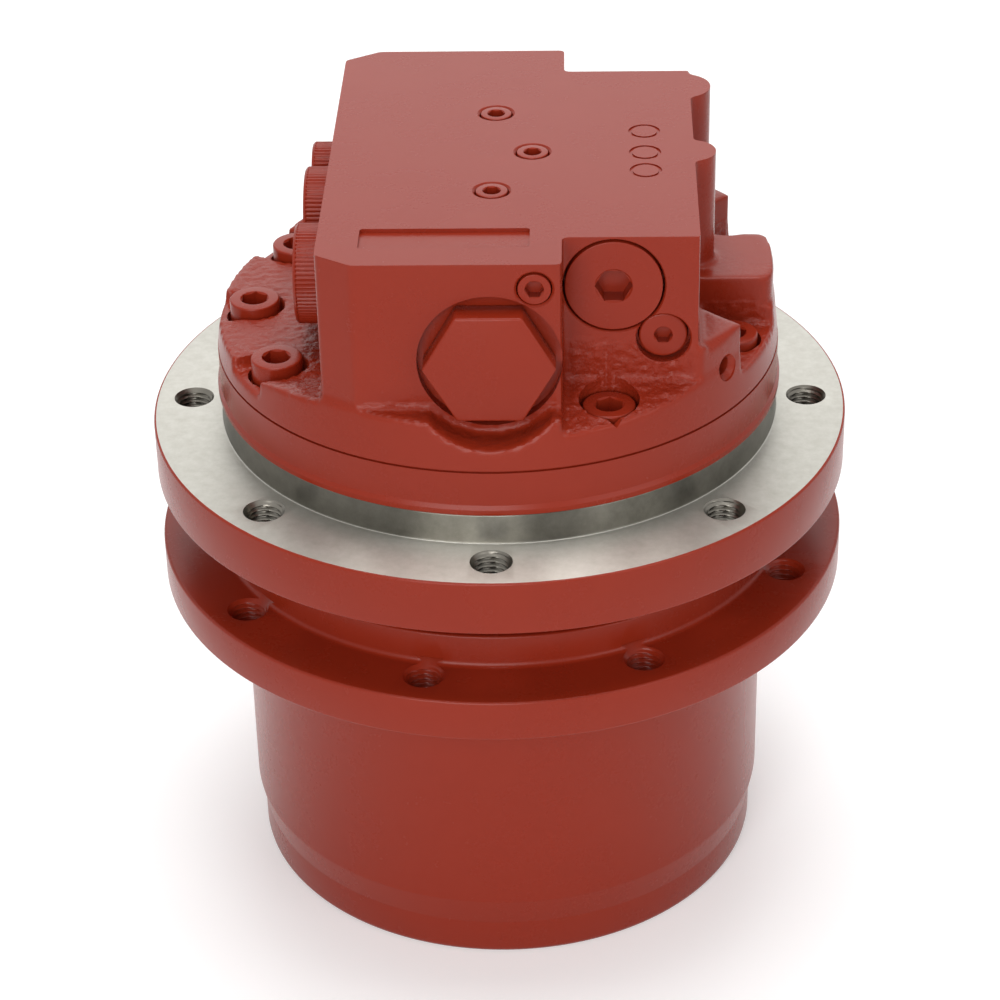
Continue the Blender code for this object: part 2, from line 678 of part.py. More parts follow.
def build_end_cover():
    """End cover, its retaining ring, and the filler and drain plugs."""
    profile = [
        (0.0, COVER_BASE + COVER_DISH_DEPTH),
        (COVER_DISH_RADIUS, COVER_BASE + COVER_DISH_DEPTH),
        (COVER_DISH_RADIUS + COVER_DISH_DEPTH, COVER_BASE),
        (COVER_RADIUS, COVER_BASE),
        (COVER_RADIUS, COVER_TOP),
        (0.0, COVER_TOP),
    ]
    cover = put("end_cover", turned(profile, INSIDE_SEGMENTS), RED_PAINT)
    seat = OIL_PLUG_SEAT_DEPTH
    head = seat - SEAT_GAP
    length = COVER_THICKNESS - seat
    parts = socket_screw(OIL_PLUG_SEAT_RADIUS, head, OIL_PLUG_RADIUS, length, OIL_PLUG_SOCKET, 2 * head)
    bore = stepped_hole(OIL_PLUG_SEAT_RADIUS, seat, OIL_PLUG_RADIUS, COVER_THICKNESS + CUT_OVER)
    downward = facing((0.0, 0.0, -1.0))
    for name, side in (("filler_plug", 1.0), ("drain_plug", -1.0)):
        mouth = at(0.0, side * OIL_PLUG_CIRCLE, COVER_BASE) @ downward
        cut(cover, moved(bore, mouth), name + "_hole")
        lifted = at(0.0, side * OIL_PLUG_CIRCLE, COVER_BASE + head) @ downward
        place_plug(name, parts, lifted, BARE_STEEL)
    build_cover_ring()


def build_cover_ring():
    """Retaining ring with a gap, drawn as an open arc with the facets of its groove."""
    outer = COVER_RADIUS + COVER_RING_DEPTH
    inner = outer - COVER_RING_WIDTH
    step = 2 * math.pi / INSIDE_SEGMENTS
    angles = [step * index for index in range(1, INSIDE_SEGMENTS)]
    outline = [(outer * math.cos(angle), outer * math.sin(angle)) for angle in angles]
    outline += [(inner * math.cos(angle), inner * math.sin(angle)) for angle in reversed(angles)]
    high = COVER_RING_INSET + COVER_RING_THICKNESS
    put("cover_retaining_ring", prism(outline, COVER_RING_INSET, high), SPRING_STEEL)


def build_spindle():
    """Spindle: frame flange, spigot, bearing seat, end plate and motor bore."""
    flange_edge = FRAME_FLANGE_RADIUS - FLANGE_CHAMFER
    outside = [
        (0.0, SKIRT_BASE),
        (SKIRT_RADIUS, SKIRT_BASE),
        (SKIRT_RADIUS, FRAME_FLANGE_BASE),
        (flange_edge, FRAME_FLANGE_BASE),
        (FRAME_FLANGE_RADIUS, FRAME_FLANGE_BASE + FLANGE_CHAMFER),
        (FRAME_FLANGE_RADIUS, FRAME_FLANGE_TOP - FLANGE_CHAMFER),
        (flange_edge, FRAME_FLANGE_TOP),
        (SPIGOT_RADIUS, FRAME_FLANGE_TOP),
        (SPIGOT_RADIUS, SPIGOT_TOP),
        (0.0, SPIGOT_TOP),
    ]
    spindle = put("spindle", turned(outside, OUTSIDE_SEGMENTS), RED_PAINT)
    pocket_top = SKIRT_BASE + SEAL_POCKET_DEPTH
    cut(spindle, disc(SEAL_BORE_RADIUS, SPINDLE_BASE, pocket_top), "seal_pocket")
    shoulder = BEARING_TOP + SEAT_GAP
    stem = [
        (0.0, SPINDLE_BASE),
        (SPINDLE_SEAT_RADIUS, SPINDLE_BASE),
        (SPINDLE_SEAT_RADIUS, shoulder),
        (SPINDLE_NECK_RADIUS, shoulder),
        (SPINDLE_NECK_RADIUS, FRAME_FLANGE_BASE),
        (0.0, FRAME_FLANGE_BASE),
    ]
    add(spindle, turned(stem), "stem")
    cut(spindle, motor_bore(), "motor_bore")
    cut(spindle, end_plate_bore(), "end_plate_bore")
    places = []
    for index in range(FRAME_BOLT_COUNT):
        angle = 2 * math.pi * index / FRAME_BOLT_COUNT
        places.append(around(angle) @ at(0.0, -FRAME_BOLT_CIRCLE, 0.0))
    low, high = FRAME_FLANGE_BASE - CUT_OVER, FRAME_FLANGE_TOP + CUT_OVER
    cut(spindle, moved(disc(TAPPED_HOLE_RADIUS, low, high), *places), "frame_holes")
    depth = BOLT_LENGTH - BOLT_SEAT_HEIGHT + RUN_GAP
    blind = disc(
        BOLT_SHANK_RADIUS + SEAT_GAP,
        SPIGOT_TOP - depth,
        SPIGOT_TOP + CUT_OVER,
        count=segments(BOLT_HEAD_RADIUS),
    )
    places = [around(angle) @ at(0.0, -CASING_BOLT_CIRCLE, 0.0) for angle in CASING_BOLT_ANGLES]
    cut(spindle, moved(blind, *places), "casing_bolt_holes")
    pin_top = SPINDLE_BASE + PLANET_PIN_DEPTH + SEAT_GAP
    pin_hole = hole(PLANET_PIN_RADIUS, SPINDLE_BASE - CUT_OVER, pin_top)
    places = [polar(STAGE_2_CENTRE, angle) for angle in stage_places(STAGE_2_START)]
    cut(spindle, moved(pin_hole, *places), "planet_pin_holes")


def motor_bore():
    """The stepped bore for the motor and its brake, open at the top."""
    profile = [
        (0.0, CAVITY_FLOOR),
        (MOTOR_BORE_RADIUS, CAVITY_FLOOR),
        (MOTOR_BORE_RADIUS, BRAKE_FLOOR),
        (BRAKE_LOWER_BORE_RADIUS, BRAKE_FLOOR),
        (BRAKE_LOWER_BORE_RADIUS, BRAKE_STEP_HEIGHT),
        (BRAKE_UPPER_BORE_RADIUS, BRAKE_STEP_HEIGHT),
        (BRAKE_UPPER_BORE_RADIUS, SPIGOT_TOP + CUT_OVER),
        (0.0, SPIGOT_TOP + CUT_OVER),
    ]
    return turned(profile)


def end_plate_bore():
    """The bore for the shaft seal and the lower shaft bearing, through the end plate."""
    needle = NEEDLE_BEARING_RADIUS + SEAT_GAP
    lip = SEAL_LIP_RADIUS + SEAT_GAP
    seal_top = SPINDLE_BASE + SHAFT_SEAL_LENGTH + 2 * SEAT_GAP
    profile = [
        (0.0, SPINDLE_BASE - CUT_OVER),
        (lip, SPINDLE_BASE - CUT_OVER),
        (lip, seal_top),
        (SHAFT_HOLE_RADIUS, seal_top),
        (SHAFT_HOLE_RADIUS, seal_top + END_PLATE_WEB),
        (needle, seal_top + END_PLATE_WEB),
        (needle, CAVITY_FLOOR + CUT_OVER),
        (0.0, CAVITY_FLOOR + CUT_OVER),
    ]
    return turned(profile, segments(NEEDLE_BEARING_RADIUS))


def build_planet(name, teeth, low, high, pin_radius, distance, angle):
    """A planet gear with a bore for its pin."""
    planet = put(
        name,
        prism(gear(teeth), low, high),
        GROUND_STEEL,
        location=polar(distance, angle).translation,
        rotation=(0.0, 0.0, planet_phase(angle, teeth)),
    )
    count = segments(pin_radius)
    bore = clear_of(pin_radius, SEAT_GAP, count)
    cut(planet, disc(bore, low - CUT_OVER, high + CUT_OVER, count=count), "pin_bore")


def build_gear_train():
    """Planets, pins, second sun gear and the planet carrier of the first stage."""
    for index, angle in enumerate(stage_places(STAGE_1_START), 1):
        build_planet(
            f"planet_stage_1_{index}",
            PLANET_1_TEETH,
            STAGE_1_BASE,
            STAGE_1_TOP,
            CARRIER_PIN_RADIUS,
            STAGE_1_CENTRE,
            angle,
        )
    for index, angle in enumerate(stage_places(STAGE_2_START), 1):
        build_planet(
            f"planet_stage_2_{index}",
            PLANET_2_TEETH,
            STAGE_2_BASE,
            STAGE_2_TOP,
            PLANET_PIN_RADIUS,
            STAGE_2_CENTRE,
            angle,
        )
        pin = disc(PLANET_PIN_RADIUS, CARRIER_TOP + RUN_GAP, SPINDLE_BASE + PLANET_PIN_DEPTH)
        place = polar(STAGE_2_CENTRE, angle).translation
        put(f"planet_pin_{index}", pin, GROUND_STEEL, location=place)
    phase = sun_phase(STAGE_2_START, PLANET_2_TEETH, SUN_2_TEETH)
    teeth = gear(SUN_2_TEETH, phase, 0.0, SUN_FLANK_GAP)
    sun = put("sun_gear_2", prism(teeth, CARRIER_BASE, STAGE_2_TOP), GROUND_STEEL)
    cut(sun, disc(SUN_2_BORE_RADIUS, CARRIER_BASE - CUT_OVER, STAGE_2_TOP + CUT_OVER), "shaft_bore")
    carrier = put("planet_carrier", disc(CARRIER_RADIUS, CARRIER_BASE, CARRIER_TOP), BARE_STEEL)
    spline = gear(SUN_2_TEETH, phase, SEAT_GAP, SUN_FLANK_GAP)
    cut(carrier, prism(spline, CARRIER_BASE - CUT_OVER, CARRIER_TOP + CUT_OVER), "sun_spline")
    pin = disc(CARRIER_PIN_RADIUS, STAGE_1_BASE - RUN_GAP, CARRIER_BASE + CARRIER_THICKNESS / 2)
    places = [polar(STAGE_1_CENTRE, angle) for angle in stage_places(STAGE_1_START)]
    add(carrier, moved(pin, *places), "pins")


def build_races(label, base, side):
    """Cup and cone of a tapered roller bearing; side is 1 where the wide end is on top."""
    top = base + BEARING_WIDTH
    lean = side * ROLLER_TAPER * BEARING_WIDTH / 2
    cup = clear_of(ROLLER_CIRCLE + ROLLER_RADIUS, SEAT_GAP, INSIDE_SEGMENTS)
    outer = [
        (BEARING_OUTER_RADIUS, base),
        (BEARING_OUTER_RADIUS, top),
        (cup + lean, top),
        (cup - lean, base),
    ]
    put(f"bearing_{label}_cup", turned(outer, INSIDE_SEGMENTS), GROUND_STEEL)
    middle = (base + top) / 2
    wide, narrow = middle + side * BEARING_WIDTH / 2, middle - side * BEARING_WIDTH / 2
    rib_face = middle + side * (ROLLER_LENGTH / 2 + SEAT_GAP)
    race = ROLLER_CIRCLE - ROLLER_RADIUS - SEAT_GAP
    at_rib = race + ROLLER_TAPER * abs(rib_face - middle)
    inner = [
        (BEARING_INNER_RADIUS, narrow),
        (race - ROLLER_TAPER * BEARING_WIDTH / 2, narrow),
        (at_rib, rib_face),
        (at_rib + RACE_RIB, rib_face),
        (at_rib + RACE_RIB, wide),
        (BEARING_INNER_RADIUS, wide),
    ]
    put(f"bearing_{label}_cone", turned(inner, INSIDE_SEGMENTS), GROUND_STEEL)


def build_rollers(label, middle, side):
    """Tapered rollers in their cage: a leaning belt that swells at each roller."""
    reach_out = ((-1.0, CAGE_THICKNESS / 2), (-ROLLER_FLAT_SHARE, ROLLER_RADIUS))
    reach_out += ((ROLLER_FLAT_SHARE, ROLLER_RADIUS), (1.0, CAGE_THICKNESS / 2))
    shape = bmesh.new()
    sections = []
    for index in range(ROLLER_COUNT):
        for share, reach in reach_out:
            angle = 2 * math.pi * index / ROLLER_COUNT + share * ROLLER_RADIUS / ROLLER_CIRCLE
            corners = []
            for outward, upward in ((1, -1), (1, 1), (-1, 1), (-1, -1)):
                rise = upward * ROLLER_LENGTH / 2
                radius = ROLLER_CIRCLE + outward * reach + side * ROLLER_TAPER * rise
                place = (radius * math.cos(angle), radius * math.sin(angle), middle + rise)
                corners.append(shape.verts.new(place))
            sections.append(corners)
    for index, corners in enumerate(sections):
        before = sections[index - 1]
        for corner in range(len(corners)):
            shape.faces.new((before[corner - 1], before[corner], corners[corner], corners[corner - 1]))
    put(f"bearing_{label}_rollers", finish(shape), GROUND_STEEL)


def build_main_bearings():
    """Two tapered roller bearings, wide ends apart, and the nut that holds them."""
    upper = BEARING_BASE + BEARING_WIDTH + SEAT_GAP
    for label, base, side in (("lower", BEARING_BASE, -1.0), ("upper", upper, 1.0)):
        build_races(label, base, side)
        build_rollers(label, base + BEARING_WIDTH / 2, side)
    top = BEARING_BASE - SEAT_GAP
    low = top - BEARING_NUT_HEIGHT
    nut = put(
        "bearing_nut",
        disc(BEARING_NUT_RADIUS, low, top, SPINDLE_SEAT_RADIUS + SEAT_GAP),
        BARE_STEEL,
    )
    half = BEARING_NUT_SLOT_WIDTH / 2
    inner = BEARING_NUT_RADIUS - BEARING_NUT_SLOT_DEPTH
    slot = block((inner, -half, low - CUT_OVER), (inner + BEARING_NUT_RADIUS, half, top + CUT_OVER))
    places = [around(2 * math.pi * index / BEARING_NUT_SLOTS) for index in range(BEARING_NUT_SLOTS)]
    cut(nut, moved(slot, *places), "spanner_slots")


def build_floating_seal():
    """Two metal rings face to face, each held by a rubber toric ring."""
    deep = SEAL_POCKET_DEPTH + LABYRINTH_GAP / 2 - SEAT_GAP
    radius = (SEAL_BORE_RADIUS - SEAL_RING_OUTER_RADIUS) / 2 - SEAT_GAP
    centre = (SEAL_BORE_RADIUS + SEAL_RING_OUTER_RADIUS) / 2
    lip = SEAL_RING_OUTER_RADIUS - SEAL_RING_SHARE_OF_LIP * (
        SEAL_RING_OUTER_RADIUS - SEAL_RING_INNER_RADIUS
    )
    for label, side in (("rotating", -1.0), ("fixed", 1.0)):
        face = SEAL_PLANE + side * SEAT_GAP / 2
        back = SEAL_PLANE + side * deep
        waist = SEAL_PLANE + side * deep / 2
        ring = turned(
            [
                (SEAL_RING_INNER_RADIUS, face),
                (lip, face),
                (SEAL_RING_OUTER_RADIUS, waist),
                (SEAL_RING_OUTER_RADIUS, back),
                (SEAL_RING_INNER_RADIUS, back),
            ]
        )
        put(f"seal_ring_{label}", ring, GROUND_STEEL)
        height = SEAL_PLANE + side * (deep - radius - SEAT_GAP)
        toric = turned([(centre + x, height + z) for x, z in polygon(6, radius)])
        put(f"seal_toric_{label}", toric, BLACK_RUBBER)


def build_shaft():
    """Drive shaft with the first sun gear, its bearings and its lip seal."""
    needle_base = SPINDLE_BASE + SHAFT_SEAL_LENGTH + 3 * SEAT_GAP + END_PLATE_WEB
    shaft = put(
        "drive_shaft",
        turned(
            [
                (0.0, STAGE_1_TOP - CUT_OVER),
                (SHAFT_LOWER_RADIUS, STAGE_1_TOP - CUT_OVER),
                (SHAFT_LOWER_RADIUS, SPINDLE_BASE - STAGE_GAP),
                (SHAFT_JOURNAL_RADIUS, SPINDLE_BASE - STAGE_GAP / 2),
                (SHAFT_JOURNAL_RADIUS, CAVITY_FLOOR),
                (SHAFT_SPLINE_RADIUS - SHAFT_SPLINE_DEPTH, CAVITY_FLOOR + SHAFT_SPLINE_DEPTH),
                (SHAFT_SPLINE_RADIUS - SHAFT_SPLINE_DEPTH, BLOCK_END),
                (SHAFT_JOURNAL_RADIUS, BLOCK_END),
                (SHAFT_JOURNAL_RADIUS, SHAFT_TOP),
                (0.0, SHAFT_TOP),
            ],
            segments(SHAFT_SPLINE_RADIUS),
        ),
        GROUND_STEEL,
    )
    phase = sun_phase(STAGE_1_START, PLANET_1_TEETH, SUN_1_TEETH)
    teeth = gear(SUN_1_TEETH, phase, 0.0, SUN_FLANK_GAP)
    add(shaft, prism(teeth, STAGE_1_BASE, STAGE_1_TOP), "sun_gear_1")
    spline = spline_outline(0.0)
    add(shaft, prism(spline, BLOCK_BASE - CUT_OVER, BLOCK_END - CUT_OVER), "block_spline")
    count = segments(NEEDLE_BEARING_RADIUS)
    bore = clear_of(SHAFT_JOURNAL_RADIUS, SEAT_GAP, count)
    needle_top = needle_base + NEEDLE_BEARING_LENGTH
    lower = disc(NEEDLE_BEARING_RADIUS, needle_base, needle_top, bore, count)
    put("shaft_bearing_lower", lower, GROUND_STEEL)
    upper = disc(NEEDLE_BEARING_RADIUS, TOP_BEARING_BASE, TOP_BEARING_TOP, bore, count)
    put("shaft_bearing_upper", upper, GROUND_STEEL)
    low = SPINDLE_BASE + SEAT_GAP
    seal = disc(SEAL_LIP_RADIUS, low, low + SHAFT_SEAL_LENGTH, bore, count)
    put("shaft_seal", seal, BLACK_RUBBER)


def spline_outline(gap):
    """A spline with straight flanks, four points a tooth, grown by a gap for its hole."""
    tip = SHAFT_SPLINE_RADIUS + gap
    root = tip - SHAFT_SPLINE_DEPTH
    quarter = math.pi / (2 * SHAFT_SPLINE_TEETH) + gap / tip
    outline = []
    for tooth in range(SHAFT_SPLINE_TEETH):
        middle = 2 * math.pi * tooth / SHAFT_SPLINE_TEETH
        for radius, share in ((root, -quarter), (tip, -quarter), (tip, quarter), (root, quarter)):
            outline.append((radius * math.cos(middle + share), radius * math.sin(middle + share)))
    return outline


def build_swash_plate():
    """Swash plate: a disc whose upper face is tilted about the X axis."""
    high = SWASH_CENTRE + SWASH_RADIUS * math.tan(SWASH_TILT) + CUT_OVER
    plate = put(
        "swash_plate",
        disc(SWASH_RADIUS, SWASH_BASE, high, SWASH_BORE_RADIUS),
        GROUND_STEEL,
    )
    reach = 2 * SWASH_RADIUS
    above = block((-reach, -reach, 0.0), (reach, reach, reach))
    tilt = at(0.0, 0.0, SWASH_CENTRE) @ Matrix.Rotation(SWASH_TILT, 4, "X")
    cut(plate, moved(above, tilt), "tilted_face")


def build_slippers():
    """Retainer plate and slippers in one, turning on the tilted face."""
    tilt_centre = bpy.data.objects.new("tilt_centre", None)
    bpy.context.scene.collection.objects.link(tilt_centre)
    tilt_centre.location = (0.0, 0.0, SWASH_CENTRE)
    tilt_centre.rotation_euler = (SWASH_TILT, 0.0, 0.0)
    plate = disc(
        RETAINER_OUTER_RADIUS,
        SEAT_GAP + SLIPPER_HEIGHT - RETAINER_THICKNESS / 2,
        SEAT_GAP + SLIPPER_HEIGHT + RETAINER_THICKNESS / 2,
        RETAINER_INNER_RADIUS,
    )
    retainer = put("slipper_retainer", plate, BRONZE, parent=tilt_centre)
    slipper = turned(
        [
            (0.0, SEAT_GAP),
            (SLIPPER_RADIUS, SEAT_GAP),
            (SLIPPER_RADIUS, SEAT_GAP + SLIPPER_HEIGHT),
            (SLIPPER_NECK_RADIUS, SEAT_GAP + SLIPPER_HEIGHT),
            (SLIPPER_NECK_RADIUS, SLIPPER_TOP),
            (0.0, SLIPPER_TOP),
        ],
        LEAST_SEGMENTS,
    )
    add(retainer, moved(slipper, *piston_places()), "slippers")


def piston_places():
    """The places of the pistons on their circle."""
    step = 2 * math.pi / PISTON_COUNT
    return [around(step * index) @ at(0.0, -PISTON_CIRCLE, 0.0) for index in range(PISTON_COUNT)]


def build_cylinder_block():
    """Cylinder block with the ends of its pistons."""
    body = disc(BLOCK_RADIUS, BLOCK_BASE, BLOCK_END, count=INSIDE_SEGMENTS)
    body = put("cylinder_block", body, BARE_STEEL)
    piston = disc(PISTON_RADIUS, BLOCK_BASE - PISTON_END_LENGTH, BLOCK_BASE + PISTON_END_LENGTH)
    add(body, moved(piston, *piston_places()), "piston_ends")
    spline = spline_outline(SEAT_GAP)
    low, high = BLOCK_BASE - CUT_OVER, BLOCK_END + CUT_OVER
    cut(body, prism(spline, low, high), "spline_hole")


def kidney(start):
    """A curved slot cutter through the valve plate."""
    inner = PISTON_CIRCLE - KIDNEY_WIDTH / 2
    outer = PISTON_CIRCLE + KIDNEY_WIDTH / 2
    span = 2 * KIDNEY_HALF_ANGLE
    angles = [start - span / 2 + span * step / KIDNEY_STEPS for step in range(KIDNEY_STEPS + 1)]
    outline = [(outer * math.cos(angle), outer * math.sin(angle)) for angle in angles]
    outline += [(inner * math.cos(angle), inner * math.sin(angle)) for angle in reversed(angles)]
    return prism(outline, VALVE_PLATE_BASE - CUT_OVER, VALVE_PLATE_TOP + CUT_OVER)


def build_valve_plate():
    """Valve plate with its two kidney ports."""
    plate = disc(VALVE_PLATE_RADIUS, VALVE_PLATE_BASE, VALVE_PLATE_TOP, SHAFT_SPLINE_RADIUS)
    plate = put("valve_plate", plate, BRONZE)
    cut(plate, kidney(0.0), "right_kidney")
    cut(plate, kidney(math.pi), "left_kidney")


def build_brake():
    """Parking brake: friction plate on the block, piston above it and a disc spring."""
    plate_base = BRAKE_FLOOR + SEAT_GAP
    plate_top = plate_base + FRICTION_PLATE_THICKNESS
    bore = BLOCK_RADIUS + SEAT_GAP
    plate = disc(FRICTION_PLATE_RADIUS, plate_base, plate_top, bore, INSIDE_SEGMENTS)
    put("brake_friction_plate", plate, FRICTION_LINING)
    base = plate_top + SEAT_GAP
    top = base + BRAKE_PISTON_HEIGHT
    step = BRAKE_STEP_HEIGHT + SEAT_GAP
    piston = turned(
        [
            (BRAKE_PISTON_BORE_RADIUS, base),
            (BRAKE_LOWER_BORE_RADIUS - SEAT_GAP, base),
            (BRAKE_LOWER_BORE_RADIUS - SEAT_GAP, step),
            (BRAKE_UPPER_BORE_RADIUS - SEAT_GAP, step),
            (BRAKE_UPPER_BORE_RADIUS - SEAT_GAP, top),
            (BRAKE_PISTON_BORE_RADIUS, top),
        ]
    )
    put("brake_piston", piston, BARE_STEEL)
    low = top + SEAT_GAP
    high = SPIGOT_TOP
    outer = BRAKE_UPPER_BORE_RADIUS - RUN_GAP
    spring = turned(
        [
            (outer, low),
            (outer, low + BRAKE_SPRING_THICKNESS),
            (BRAKE_SPRING_INNER_RADIUS, high),
            (BRAKE_SPRING_INNER_RADIUS, high - BRAKE_SPRING_THICKNESS),
        ]
    )
    put("brake_spring", spring, SPRING_STEEL)


def block_outline():
    """The cast block seen from above, the same in front and behind."""
    front = [
        (-BLOCK_LEFT, -BLOCK_LEFT_DEEP),
        (-BLOCK_CHAMFER_X, -BLOCK_DEEP),
        (BLOCK_STEP_X, -BLOCK_DEEP),
        (BLOCK_STEP_X, -BLOCK_SHALLOW),
        (BLOCK_RIGHT, -BLOCK_SHALLOW),
    ]
    return front + [(x, -y) for x, y in reversed(front)]


def add_casting_forms(casing):
    """Bosses, lug, land and gussets that the casting has round the block."""
    boss_x = BLOCK_RIGHT + SIDE_BOSS_REACH - SIDE_BOSS_RADIUS
    boss = disc(SIDE_BOSS_RADIUS, SIDE_LUG_TOP - CUT_OVER, BLOCK_TOP)
    add(casing, moved(boss, at(boss_x, SIDE_BOSS_Y, 0.0)), "side_boss")
    boss_x = BLOCK_RIGHT + SIDE_BOSS_REACH - CORNER_BOSS_RADIUS
    boss = disc(CORNER_BOSS_RADIUS, FOOT_TOP, BLOCK_TOP)
    add(casing, moved(boss, at(boss_x, CORNER_BOSS_Y, 0.0)), "corner_boss")
    half = math.asin(SIDE_LUG_HALF_WIDTH / SIDE_LUG_RADIUS)
    add(casing, sector(SIDE_LUG_RADIUS, math.pi / 2 - half, math.pi / 2 + half), "side_lug")
    add(casing, sector(SIDE_LUG_RADIUS, BACK_LAND_START, BACK_LAND_END), "back_land")
    for label, side in (("front", -1.0), ("back", 1.0)):
        add(casing, gusset(side), label + "_gusset")


def sector(radius, start, end):
    """A land of the casting between two angles, from inside the block out to the band."""
    inner = BLOCK_RIGHT - CUT_OVER
    angles = (start, (start + end) / 2, end)
    outline = [(radius * math.sin(angle), -radius * math.cos(angle)) for angle in angles]
    outline += [(inner, -inner / math.tan(angle)) for angle in (end, start)]
    return prism(outline, FOOT_TOP, SIDE_LUG_TOP)


def gusset(side):
    """The sloping foot under the shallow face of the block."""
    near = side * (BLOCK_SHALLOW - CUT_OVER)
    far = side * (BLOCK_SHALLOW + GUSSET_REACH)
    low = BAND_TOP - CUT_OVER
    outline = [(near, low), (far, low), (far, BAND_TOP), (near, BAND_TOP + GUSSET_HEIGHT)]
    shape = prism(outline, BLOCK_STEP_X - CUT_OVER, BLOCK_RIGHT)
    return moved(shape, Matrix(((0, 0, 1, 0), (1, 0, 0, 0), (0, 1, 0, 0), (0, 0, 0, 1))))


def pocket_outline():
    """A screw pocket seen from above: a half round inside, straight out to the edge."""
    half = segments(BOLT_POCKET_RADIUS) // 2
    angles = [math.pi * index / half for index in range(half + 1)]
    outline = [
        (BOLT_POCKET_RADIUS * math.cos(angle), BOLT_POCKET_RADIUS * math.sin(angle))
        for angle in angles
    ]
    reach = -2 * BOLT_POCKET_RADIUS
    return outline + [(-BOLT_POCKET_RADIUS, reach), (BOLT_POCKET_RADIUS, reach)]


def cut_screw_pockets(casing):
    """Seven pockets that open outwards through the band, with their screw holes."""
    pocket = prism(pocket_outline(), BOLT_SEAT, SIDE_LUG_TOP + CUT_OVER)
    places = [around(angle) @ at(0.0, -CASING_BOLT_CIRCLE, 0.0) for angle in CASING_BOLT_ANGLES]
    cut(casing, moved(pocket, *places), "screw_pockets")
    shank = disc(
        BOLT_SHANK_RADIUS + SEAT_GAP,
        CASING_BASE - CUT_OVER,
        BOLT_SEAT + CUT_OVER,
        count=segments(BOLT_HEAD_RADIUS),
    )
    cut(casing, moved(shank, *places), "screw_holes")


def cut_slanted_facet(casing):
    """The slanted facet on the front right of the band, with its small drilling."""
    run = CASING_BAND_RADIUS - SLANT_INNER_RADIUS
    slope = math.atan2(SLANT_DROP, run)
    reach = 2 * SLANT_WIDTH
    above = block((-SLANT_WIDTH / 2, -reach, 0.0), (SLANT_WIDTH / 2, 0.0, reach))
    edge = at(0.0, -SLANT_INNER_RADIUS, BAND_TOP) @ Matrix.Rotation(slope, 4, "X")
    cut(casing, moved(above, around(SLANT_DIRECTION) @ edge), "slanted_facet")
    middle = -SLANT_HOLE_SHARE * math.hypot(run, SLANT_DROP)
    drilling = disc(SLANT_HOLE_RADIUS, -SLANT_HOLE_DEPTH, CUT_OVER)
    place = around(SLANT_DIRECTION) @ edge @ at(0.0, middle, 0.0)
    cut(casing, moved(drilling, place), "slanted_hole")


def cut_spool_bore(casing):
    """Spool bore along Y with its two plug seats and the clearance under the hexagons."""
    across = at(0.0, 0.0, SPOOL_HEIGHT) @ facing((0.0, 1.0, 0.0))
    seat = BLOCK_DEEP + HEX_PLUG_PROUD - HEX_PLUG_HEAD
    chamber = seat - HEX_PLUG_SHANK_LENGTH - SPRING_CHAMBER_GAP
    bore = hole(SPOOL_RADIUS, -chamber - CUT_OVER, chamber + CUT_OVER)
    cut(casing, moved(bore, across), "spool_bore")
    shank = hole(HEX_PLUG_SHANK_RADIUS, chamber, seat)
    clearance = turned(
        [
            (0.0, seat - SEAT_GAP),
            (HEX_COUNTERBORE_RADIUS, seat - SEAT_GAP),
            (HEX_COUNTERBORE_RADIUS, BLOCK_DEEP),
            (HEX_NOTCH_RADIUS, BLOCK_DEEP),
            (HEX_NOTCH_RADIUS, CASING_BAND_RADIUS + CUT_OVER),
            (0.0, CASING_BAND_RADIUS + CUT_OVER),
        ],
        2 * LEAST_SEGMENTS,
    )
    for label, side in (("front", -1.0), ("back", 1.0)):
        outward = at(0.0, 0.0, SPOOL_HEIGHT) @ facing((0.0, side, 0.0))
        cut(casing, moved(clearance, outward), label + "_plug_clearance")
        cut(casing, moved(shank, outward), label + "_plug_thread")


def cut_face_plugs(casing):
    """Seats of the relief valves, the gauge plug, the orifice plug and the gallery plugs."""
    ring = RELIEF_RADIUS + RELIEF_RING_GAP - SEAT_GAP
    depth = RELIEF_LENGTH + SEAT_GAP
    stepped = stepped_hole(ring, RELIEF_HEAD_DEPTH + SEAT_GAP, RELIEF_SHANK_RADIUS, depth)
    for label, side in (("front", -1.0), ("back", 1.0)):
        outward = at(RELIEF_X, side * BLOCK_SHALLOW, RELIEF_HEIGHT) @ facing((0.0, side, 0.0))
        cut(casing, moved(stepped, outward), label + "_relief_seat")
    front = facing((0.0, -1.0, 0.0))
    gauge = hole(GAUGE_RADIUS, -GAUGE_LENGTH, GUSSET_REACH)
    cut(casing, moved(gauge, at(GAUGE_X, -BLOCK_SHALLOW, GAUGE_HEIGHT) @ front), "gauge_seat")
    small = hole(SMALL_PLUG_RADIUS, -SMALL_PLUG_LENGTH - SEAT_GAP, CUT_OVER)
    cut(casing, moved(small, at(ORIFICE_X, -BLOCK_DEEP, ORIFICE_HEIGHT) @ front), "orifice_seat")
    places = [at(x, y, BLOCK_TOP) for x, y in GALLERY_PLACES]
    cut(casing, moved(small, *places), "gallery_seats")
    depth = BLOCK_TOP - SPOOL_HEIGHT - SPOOL_RADIUS / 2
    drilling = disc(GALLERY_DRILL_RADIUS, -depth, -SMALL_PLUG_LENGTH)
    cut(casing, moved(drilling, *places), "gallery_drillings")


def cut_top_marks(casing):
    """The shallow cast recess, left bare, and three plain round marks."""
    low = (CAST_RECESS_LEFT, CAST_RECESS_NEAR, BLOCK_TOP - CAST_RECESS_DEPTH)
    high = (CAST_RECESS_RIGHT, CAST_RECESS_FAR, BLOCK_TOP + CUT_OVER)
    cut(casing, block(low, high), "cast_recess")
    mark = disc(ROUND_MARK_RADIUS, -ROUND_MARK_DEPTH, CUT_OVER)
    places = [at(ROUND_MARK_X, y, BLOCK_TOP) for y in ROUND_MARK_Y]
    cut(casing, moved(mark, *places), "round_marks")


